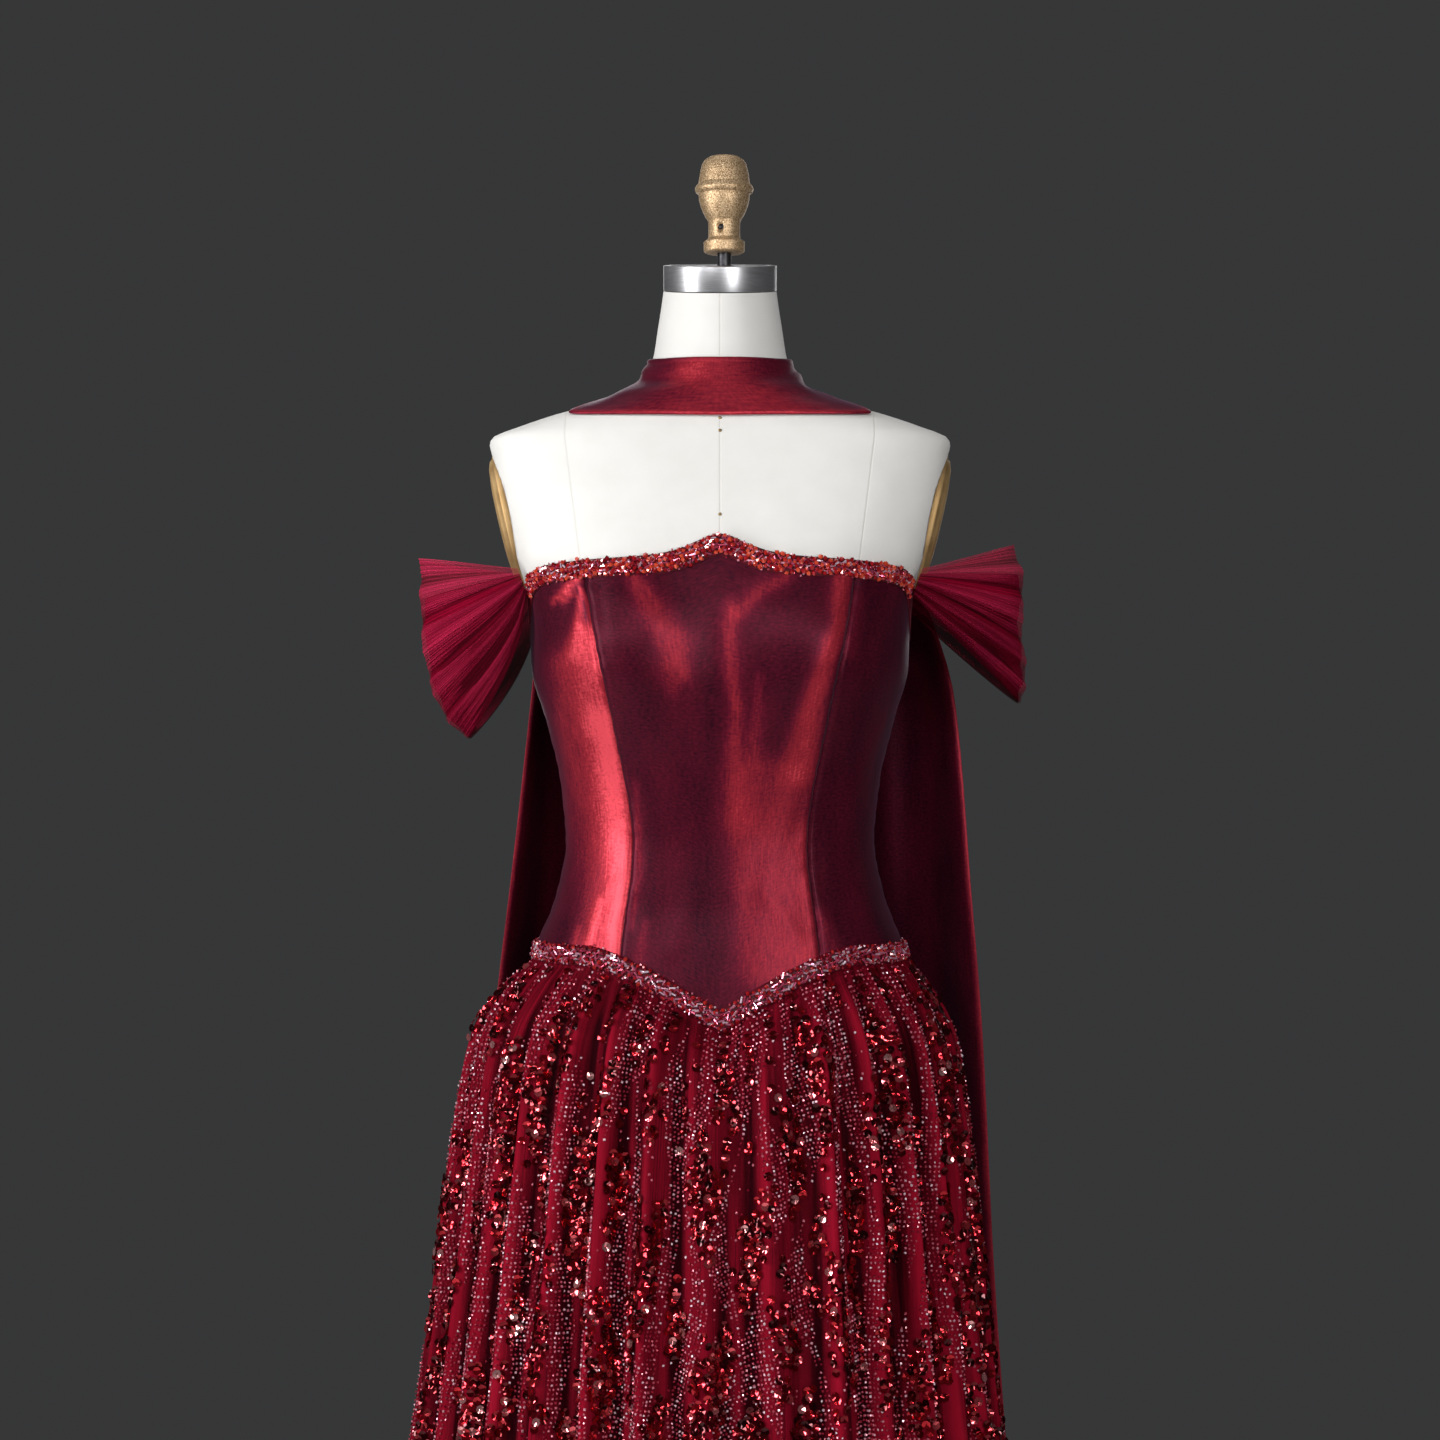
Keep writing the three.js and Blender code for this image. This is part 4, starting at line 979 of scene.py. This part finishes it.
# Each kind's shape, material, smallest and largest size, lanes across the band, and how far out it sits
TRIM_BEADS = {
    "crystals": (BICONE, BICONE_FACES, CRYSTAL, (2.0, 2.6), (0.13, 0.85, 0.37, 0.63), 0.55),
    "bugles": (BUGLE_SHAPE, BUGLE_FACES, BUGLE, (2.2, 2.9), (0.27, 0.5, 0.75), 0.4),
    "seeds": (SEED_SHAPE, SEED_FACES, SEED, (1.0, 1.4), (0.08, 0.4, 0.92), 0.4),
}
WAIST_TRIM_HALF = WAIST_TRIM_WIDTH / 2 / BODICE_LENGTH
# Each band's upper and lower edge down the bodice, crystal size and tones, counts, and bare share underarm
TRIMS = {
    "neckline": (0, NECKLINE_TRIM_WIDTH / BODICE_LENGTH, 1.0, (0.08, 0.9), (900, 900, 560), 0.36),
    "waist": (1 - WAIST_TRIM_HALF, 1 + WAIST_TRIM_HALF, 0.8, (0, 0.6), (620, 950, 600), 0.0),
}


def trim_surface(column, v):
    return bodice_point(column, v, TRIM_OUT + 0.6)


def make_trim(name, top, bottom, crystal_size, crystal_tones, counts, bare):
    """A net band with bugles, seed beads and crystals sewn on it close together."""
    rows = np.linspace(top, bottom, 5)[:, None]
    columns = np.arange(0, COLUMNS, 1 / 8)[None]
    tape = cloth(name + "_tape", bodice_point(columns, rows, TRIM_OUT + 0.4), ring=True, thickness=0.8)
    dress_piece(tape, LINING, "beading", name + "_trim")

    all_columns = np.linspace(0, COLUMNS, 4001)
    walked = distances(trim_surface(all_columns % COLUMNS, (top + bottom) / 2))
    for (kind, (shape, faces, material, sizes, lanes, sits)), count in zip(TRIM_BEADS.items(), counts):
        crystal = kind == "crystals"
        steps = (np.arange(count) + RNG.uniform(-0.3, 0.3, count)) % count * walked[-1] / count
        column = np.interp(steps, walked, all_columns) % COLUMNS
        share = np.array(lanes)[np.arange(count) % len(lanes)] + RNG.normal(0, 0.06, count)
        beaded = np.abs(np.sin(column_angle(column, 1250))) > bare
        count, column, share = beaded.sum(), column[beaded], share[beaded]
        places, along, normal = surface_frame(trim_surface, column, mix(top, bottom, share))
        size = RNG.uniform(*sizes, count) * (crystal_size if crystal else 1)
        axes = axes_on(normal, along, 0.35)
        axes = turned(axes, RNG.normal(0, 0.65, count)) if kind == "bugles" else spin(axes)
        lift = size * sits + RNG.uniform(0, 0.5, count)
        tones = crystal_tones if crystal else (0, 1)
        beads = copies(f"{name}_{kind}", shape, faces, places + normal * lift[:, None], axes, size, tones)
        dress_piece(beads, material, "beading")


for trim, settings in TRIMS.items():
    make_trim(trim, *settings)


# The skirt
SKIRT_ROWS = np.linspace(0, 1, 54)[1:] * (LONGEST_DROP - EVEN_DROP)
SKIRT_ROWS = np.concatenate([np.linspace(0, EVEN_DROP, 22), EVEN_DROP + SKIRT_ROWS])
# About how far out the skirt's side seams are below the waist
SIDE_SEAM_RADIUS = 170
NET_COLUMNS_PER_FLUTE = 18
LINING_COLUMNS_PER_FLUTE = 6
LINING_INSIDE = 8
# The pattern of beads and sequins: the bands round the skirt, distances, and the share of beads left out
BANDS = 46
BEAD_PITCH = 3.6
BEAD_ROW_GAP = 3.7
MISSING_BEADS = 0.07
BEAD_SIZES = (1.15, 1.45)
SEQUIN_GAP = 6.0
SEQUIN_ROW_GAP = 5.9
SEQUIN_SIZES = (3.3, 3.8)
PATTERN_LENGTH = 1600
# How many strands of beads a band has, and how clear of a band's middle sequins lie in dense and thin patches
STRANDS = {"usual": 4.9, "swing": 2.7, "most": 8}
SEQUIN_CLEAR = {"dense": 5, "thin": 9}


def make_skirt_net():
    rows = SKIRT_ROWS[:, None]
    seam = SEAM_GAP / 2 / SIDE_SEAM_RADIUS
    for name, start in (("skirt_front", TURN / 2), ("skirt_back", 0.0)):
        count = FLUTES // 2 * NET_COLUMNS_PER_FLUTE + 1
        angles = np.linspace(start + seam, start + TURN / 2 - seam, count)[None]
        points = skirt_point(angles, rows)
        z = points[..., 2]
        # Painted light: painted shade in the valleys of the flutes, small folds and gathers, and painted
        # highlight on their ridges.
        fold = 0.4 + 0.42 * flutes(angles, z) * smooth(rows / 60)
        fold = fold + 0.34 * small_folds(angles, z, np.minimum(rows, 300)) + 0.12 * gathers(angles, rows)
        dress_piece(cloth(name + "_net", points, fold=fold), SKIRT_NET, "skirt_net", name)


def lining_point(angle, ring):
    angle, ring = np.broadcast_arrays(np.asarray(angle, float), ring)
    drop = mix(1, seam_height(angle) - SEAM_GAP - LINING_HEM_HEIGHT, ring)
    z = seam_height(angle) - SEAM_GAP - drop
    depth = read(FLUTE_DEPTH["out"], drop)
    inside = LINING_INSIDE + 1.2 * depth - 0.45 * depth * flutes(angle, z)
    hip_out = CLOTH_CLEAR + 0.4
    x, y = opened_skirt(angle, z, drop, inside, hip_out, LINING_PUFF_START, LINING_PUFF_DROP)
    return np.stack([x, y, z], -1)


def make_lining():
    angles = np.arange(0, TURN, TURN / (FLUTES * LINING_COLUMNS_PER_FLUTE))[None]
    rows = (np.linspace(0, 1, 60) ** 1.3)[:, None]
    piece = cloth("skirt_lining_satin", lining_point(angles, rows), ring=True)
    dress_piece(piece, LINING, "skirt_lining", "skirt_lining")


def ripples(count, short, long, low, high):
    """A smooth random field of the distance round the cloth and down it, about 1 high."""
    across = TURN / RNG.uniform(short, long, count) * RNG.choice([-1, 1], count)
    down = TURN / RNG.uniform(low, high, count)
    phase = RNG.uniform(0, TURN, count)

    def field(s, drop):
        total = 0 * s + 0 * drop
        for a, b, c in zip(across, down, phase):
            total = total + np.sin(a * s + b * drop + c)
        return total / math.sqrt(count / 2)

    return field


class Unrolled:
    """The net laid out flat: at each level, angles by distance round the cloth."""

    ANGLES = np.linspace(0, TURN, 2881)

    def __init__(self, level):
        self.length = distances(skirt_point(self.ANGLES, level))
        self.total = self.length[-1]

    def angle(self, distance):
        return np.interp(distance % self.total, self.length, self.ANGLES)


def make_spangles():
    """Seed beads in meandering bands, and sequins in patches between them."""
    centre = (np.arange(BANDS) + RNG.uniform(-0.22, 0.22, BANDS)) / BANDS
    swing = RNG.uniform(4, 13, BANDS)
    period = RNG.uniform(170, 420, BANDS)
    start = RNG.uniform(0, TURN, BANDS)
    strands = ripples(7, 200, 420, 120, 380)
    patches = ripples(9, 45, 120, 90, 260)
    clumps = ripples(9, 18, 40, 30, 80)

    def middles(net, level):
        return centre * net.total + swing * np.sin(TURN * level / period + start) * smooth(level / 90)

    beads, sequins = [], []
    for level in np.arange(11, LONGEST_DROP - 4, BEAD_PITCH):
        net = Unrolled(level)
        middle = middles(net, level)
        span = net.total / BANDS
        for k in range(BANDS):
            more = strands(centre[k] * PATTERN_LENGTH, level + 37.0 * k)
            room = min(STRANDS["most"], span / BEAD_ROW_GAP - 1.6)
            count = int(np.clip(STRANDS["usual"] + STRANDS["swing"] * more, 0, room))
            shift = (np.arange(count) - (count - 1) / 2) * BEAD_ROW_GAP
            beads += [(middle[k] + s, net.total, level) for s in shift]
        if level % 2 < 1:
            beads += [(m + span * (0.5 + 0.12 * math.sin(level / 60 + m)), net.total, level) for m in middle]
    rows = np.array(beads)
    rows = rows[RNG.random(len(rows)) > MISSING_BEADS]
    rows[:, 0] += RNG.normal(0, 0.3, len(rows))
    rows[:, 2] += RNG.normal(0, 0.3, len(rows))
    sew_on("seed_beads", SEED, (SEED_SHAPE, SEED_FACES), rows, BEAD_SIZES, 0.45, lambda count: 0.9)

    for level in np.arange(14, LONGEST_DROP - 6, SEQUIN_ROW_GAP):
        net = Unrolled(level)
        slots = int(net.total / SEQUIN_GAP)
        at = (np.arange(slots) + RNG.uniform(-0.4, 0.4, slots)) * net.total / slots
        down = level + RNG.uniform(-2, 2, slots)
        share = at / net.total * PATTERN_LENGTH
        field = patches(share, down) + 0.55 * clumps(share, down)
        away = np.abs((at[:, None] - middles(net, level)[None] + net.total / 2) % net.total - net.total / 2)
        clear = away.min(1) > np.where(field < 0.8, SEQUIN_CLEAR["thin"], SEQUIN_CLEAR["dense"])
        keep = (field + RNG.normal(0, 0.3, slots) > -0.5) & clear
        sequins += [(s, net.total, d) for s, d in zip(at[keep], down[keep])]

    def uneven(count):
        return RNG.uniform(1, 2.2, (count, 1))

    shape = (SEQUIN_SHAPE, SEQUIN_FACES)
    sew_on("sequins", SEQUIN, shape, np.array(sequins), SEQUIN_SIZES, 0.16, uneven, shaded=True)


def angles_of(rows):
    """Angles of places given by their distance round the cloth, its whole length round, and their level."""
    angle = np.empty(len(rows))
    nearest = np.round(rows[:, 2] / 4)
    for level in np.unique(nearest):
        group = nearest == level
        net = Unrolled(level * 4)
        angle[group] = net.angle(rows[group, 0] / rows[group, 1] * net.total)
    return angle


def sew_on(name, material, shape, rows, sizes, tilt, lift, shaded=False):
    """Small parts sewn on the net's two halves, with lift giving how far out of it each one stands."""
    angle = angles_of(rows)
    places, along, normal = surface_frame(skirt_point, angle, rows[:, 2])
    size = RNG.uniform(*sizes, len(angle))
    front = np.sin(angle) < 0
    for half, mask in (("front", front), ("back", ~front)):
        axes = spin(axes_on(normal[mask], along[mask], tilt))
        at = places[mask] + normal[mask] * lift(mask.sum())
        piece = copies(f"{name}_{half}", *shape, at, axes, size[mask], shaded=shaded)
        ON_NET[half].append(dress_piece(piece, material, name))


ON_NET = {"front": [], "back": []}
make_skirt_net()
make_lining()
make_spangles()


# The sleeves
SLEEVE_ROOT = {"top": 1276, "bottom": 1254, "front": -54, "back": 58}
# The swag's outer edge, v of the way down: how far out it is, its height, and how steeply it falls to there
SLEEVE_COLUMNS = "v x z fall"
SLEEVE_EDGES = {
    "left": table(
        SLEEVE_COLUMNS,
        (0, 255, 1287, 1),
        (0.3, 254, 1236, 0.9),
        (0.6, 248, 1188, 0.75),
        (0.85, 233, 1152, 0.6),
        (1, 215, 1134, 0.5),
    ),
    "right": table(
        SLEEVE_COLUMNS,
        (0, 249, 1299, 1),
        (0.25, 258, 1267, 1),
        (0.5, 257, 1232, 1),
        (0.8, 260, 1188, 0.9),
        (1, 256, 1164, 0.85),
    ),
}
SLEEVE_OUT = TRIM_OUT + TRIM_WALL + 1.1
FINE_PLEATS = 44


def sleeve_point(side, along, v, inset=0.0, phase=0.0):
    """Points of a swag of net, from its front root at along 0 to its back root at 1, and the painted light
    from their folds.
    """
    edge = SLEEVE_EDGES[side]
    along, v = np.broadcast_arrays(along, v)
    bend = np.sin(np.pi * along)
    root_z = mix(SLEEVE_ROOT["top"], SLEEVE_ROOT["bottom"], v)
    y = mix(SLEEVE_ROOT["back"], SLEEVE_ROOT["front"], 0.5 + 0.5 * np.cos(np.pi * along))
    root_y = np.where(along < 0.5, SLEEVE_ROOT["front"], SLEEVE_ROOT["back"])
    half, front, back = sides_at(FORM, root_z, SLEEVE_OUT)
    square = read(FORM["square"], root_z)
    share = np.abs(root_y) / np.where(root_y < 0, front, back)
    root_x = half * (1 - share**square) ** (1 / square)
    coarse = np.cos(TURN * 4.5 * v + phase + 1.1 * np.sin(7 * v))
    middle = np.cos(TURN * 11 * v + 1.5 * np.sin(8 * v + 2 * along) + phase)
    bunch = 0.5 + 0.5 * np.sin(TURN * 2.3 * v + 1.5 * along + phase)
    fine = bunch * np.cos(TURN * FINE_PLEATS * v + 0.8 * np.sin(9 * v + 5 * along + phase))
    facing = np.abs(np.cos(np.pi * along))
    broad = (0.9 + 2.6 * facing) * coarse + (0.3 + 1.3 * facing) * middle
    out = bend * (broad + (0.25 + 0.5 * facing) * fine)
    x = mix(root_x, read(edge["x"], v) - inset, bend**0.9) + out * (1 - 0.7 * facing)
    z = mix(root_z, read(edge["z"], v), bend ** read(edge["fall"], v))
    y = y - out * np.cos(np.pi * along)
    # Painted light: lighter on the pleats' ridges and in bunches of fine pleats, a painted highlight, and
    # darker in their hollows, a painted shade.
    fold = 0.42 + 0.2 * coarse + 0.16 * middle + 0.1 * fine + 0.34 * bunch * np.maximum(0, fine)
    return np.stack([(1 if side == "right" else -1) * x, y, z], -1), fold


def make_sleeves():
    along = np.linspace(0, 1, 45)[None]
    for side in SLEEVE_EDGES:
        order = slice(None) if side == "right" else slice(None, None, -1)
        rows = np.linspace(0, 1, FINE_PLEATS * 4 + 1)[:, None]
        points, fold = sleeve_point(side, along, rows)
        # Painted shade: both layers grow darker towards the swag's lower edge.
        outer = cloth(f"sleeve_{side}_outer", points[:, order], fold=fold[:, order] * (1.15 - 0.75 * rows))
        rows = np.linspace(0.2, 1, FINE_PLEATS * 3 + 1)[:, None]
        points, fold = sleeve_point(side, along, rows, 3, 1.9)
        inner = cloth(f"sleeve_{side}_inner", points[:, order], fold=fold[:, order] * (1.1 - 0.95 * rows))
        dress_piece(outer, SLEEVE_NET, "sleeve_net", f"sleeve_{side}")
        dress_piece(inner, SLEEVE_LAYER, "sleeve_net")


make_sleeves()


# The scarf
BAND_END = 140
SCARF_BAND = table(
    "turn inner outer",
    (0, 1451, 1400.5),
    (45, 1452, 1404),
    (90, 1455, 1421),
    (120, 1450, 1413),
    (BAND_END, 1444, 1405),
)
TAIL_COLUMNS = "t z_in z_out x_in x_out y_in y_out bow"
TAILS = {
    "right": (
        (0.03, 1434, 1394, 42, 126, 84, 88, 1.6),
        (0.06, 1402, 1372, 42, 142, 108, 97, 2.2),
        (0.13, 1300, 1290, 36, 168, 124, 98, 2.5),
        (0.21, 1170, 1167, 26, 206, 134, 96, 2.5),
        (0.33, 997, 997, 18, 220, 158, 92, 2.5),
        (0.41, 875, 875, 16, 230, 192, 98, 2.5),
        (0.55, 665, 665, 15, 241, 241, 108, 2.5),
        (0.8, 300, 300, 15, 270, 322, 134, 2.5),
        (1, 64, 76, 16, 290, 369, 158, 2.5),
    ),
    "left": (
        (0.03, 1434, 1394, 42, 126, 84, 88, 1.6),
        (0.06, 1402, 1372, 42, 140, 108, 97, 2.2),
        (0.13, 1300, 1290, 36, 154, 124, 100, 2.5),
        (0.21, 1170, 1167, 26, 166, 134, 98, 2.5),
        (0.33, 997, 997, 18, 185, 158, 100, 2.5),
        (0.41, 875, 875, 16, 201, 192, 126, 2.5),
        (0.55, 665, 665, 15, 221, 241, 164, 2.5),
        (0.8, 300, 300, 15, 245, 322, 226, 2.5),
        (1, 70, 60, 16, 262, 369, 274, 2.5),
    ),
}


def band_edges(turn):
    heights = [read(SCARF_BAND[edge], np.abs(turn)) for edge in ("inner", "outer")]
    return [form_point(np.radians(turn - 90), z, SCARF_CLEAR) for z in heights]


def band_point(turn, v, lift):
    turn, v = np.broadcast_arrays(np.asarray(turn, float), v)
    inner, outer = band_edges(turn)
    p = form_point(np.radians(turn - 90), mix(inner[..., 2], outer[..., 2], v), SCARF_CLEAR)
    away = unit(np.stack([p[..., 0], p[..., 1], mix(15, 70, v)], -1))
    folds = 1.2 * smooth(np.abs(turn) / 60) * np.sin(TURN * 2.2 * v + turn / 40) * np.sin(np.pi * v)
    rolled = 0.7 * bell(v, 0.02, 0.97) + 0.5 * bell(v, 0.02, 0.03)
    return p + away * (np.sin(np.pi * v) + lift + folds + rolled)[..., None]


def tail_point(name, u, t):
    """A point of a scarf end, u of the way from its inner to its outer edge and t of the way down."""
    inner, outer = band_edges(np.array(float(BAND_END)))
    first = (0, inner[2], outer[2], inner[0], outer[0], inner[1], outer[1], 1)
    rows = table(TAIL_COLUMNS, first, *TAILS[name])
    u, t = np.broadcast_arrays(u, t)
    at = {column: read(rows[column], t) for column in TAIL_COLUMNS.split()[1:]}
    x = mix(at["x_in"], at["x_out"], u)
    y = mix(at["y_in"], at["y_out"], u ** at["bow"])
    z = mix(at["z_in"], at["z_out"], u)
    wave = 0.5 - 0.5 * np.cos(TURN * 3 * u + 1.5 * t)
    small = 0.8 * np.sin(TURN * 7 * u + 4 * t) * smooth((t - 0.05) / 0.2) * np.sin(np.pi * u)
    fold = smooth((t - 0.05) / 0.3) * 7 * wave + small
    over = unit(np.stack([0.35 * x, y, np.where(t < 0.06, 60.0, 0.0) + 0 * x], -1))
    lift = 1.2 + SCARF_WALL + fold
    points = np.stack([x, y, z], -1) + lift[..., None] * over + (0, SEAM_GAP, 0)
    return points * (1 if name == "right" else -1, 1, 1)


def make_scarf():
    turns = np.linspace(-BAND_END, BAND_END, 121)[None]
    rows = np.linspace(0, 1, 31)[:, None]
    # Painted highlights: red down the middle, along the rolled lower edge and left of centre near the top;
    # the sides stay plum.
    fold = 0.18 + 0.3 * bell(turns, 24, 4) + 0.3 * bell(rows, 0.03, 0.97)
    fold = fold + 0.42 * bell(turns, 15, -20) * bell(rows, 0.28, 0.25)
    points = band_point(turns, rows, SCARF_WALL)
    band = cloth("scarf_band_taffeta", points, thickness=0.9, fold=fold, lengthways=True)
    dress_piece(band, TAFFETA, "taffeta", "scarf_band")
    for name in TAILS:
        across = np.linspace(*((0, 1) if name == "left" else (1, 0)), 43)[None]
        down = (np.linspace(0, 1, 73) ** 1.25)[:, None]
        # Painted light: the tails' edges get a painted highlight and their middles stay near-black, a painted
        # shade, with faint waves.
        edges = np.exp(-across / 0.02) + np.exp(-(1 - across) / 0.02)
        fold = np.maximum(0.55 * edges, 0.02 * (0.5 - 0.5 * np.cos(TURN * 3 * across + 1.5 * down)))
        tail = cloth(f"scarf_tail_{name}_taffeta", tail_point(name, across, down), thickness=0.9, fold=fold)
        dress_piece(tail, TAFFETA, "taffeta", f"scarf_tail_{name}")


make_scarf()


# Stage, lights and camera
def make_stage():
    floor = lathe("floor_disc", [(0, -30), (1800, -30), (1800, -4), (1796, -0.5), (0, -0.5)], 128)
    paint = Paint("floor_pale", roughness=0.7)
    paint.colour(paint.noise(paint.place(), 8, 4), (0.3, (0.74, 0.73, 0.72)), (0.7, (0.78, 0.77, 0.76)))
    floor.data.materials.append(paint.material)


def area_light(name, azimuth, distance, height, width, tall, power, target=(0, 0, 1.1)):
    """A soft box. Its azimuth is in degrees from the front, to the viewer's right."""
    turn = math.radians(azimuth)
    data = bpy.data.lights.new(name, "AREA")
    data.shape = "RECTANGLE"
    data.size, data.size_y, data.energy = width, tall, power
    light = bpy.data.objects.new(name, data)
    light.location = (distance * math.sin(turn), -distance * math.cos(turn), height)
    light.rotation_euler = (Vector(target) - light.location).to_track_quat("-Z", "Y").to_euler()
    bpy.context.collection.objects.link(light)


# Small lights that make the sequins flash
GLINT_AZIMUTHS = (-46, -36, -27, -18, -9, 3, 14)


def make_lights():
    area_light("strip_left", -62, 2.1, 1.45, 0.3, 1.9, 38)
    area_light("strip_right", 26, 2.9, 1.5, 0.3, 1.9, 32)
    for i, azimuth in enumerate(GLINT_AZIMUTHS):
        area_light(f"glint_{i + 1}", azimuth, 2.7, 1.9 + 0.35 * (i % 3), 0.07, 0.07, 4.5)
    area_light("back_left", -172, 2.9, 1.8, 0.9, 1.8, 9)
    area_light("back_right", 160, 2.9, 1.8, 0.5, 1.8, 5)
    area_light("top", 180, 0.3, 3.2, 1.2, 1.2, 5)
    world = bpy.data.worlds.new("studio")
    world.use_nodes = True
    background = world.node_tree.nodes["Background"].inputs
    background["Color"].default_value = (0.75, 0.76, 0.78, 1)
    background["Strength"].default_value = 0.05
    bpy.context.scene.world = world
    bpy.context.scene.view_settings.view_transform = "Standard"


# In front of the pole's axis, level, with the width that the frame shows there
CAMERA = {"distance": 2.5, "height": 1.15, "frame_width": 1.224, "sensor": 36}


def make_camera():
    data = bpy.data.cameras.new("camera")
    data.sensor_fit = "HORIZONTAL"
    data.sensor_width = CAMERA["sensor"]
    data.lens = CAMERA["sensor"] * CAMERA["distance"] / CAMERA["frame_width"]
    camera = bpy.data.objects.new("camera", data)
    camera.location = (0, -CAMERA["distance"], CAMERA["height"])
    camera.rotation_euler = (math.radians(90), 0, 0)
    bpy.context.collection.objects.link(camera)
    bpy.context.scene.camera = camera


make_stage()
make_lights()
make_camera()
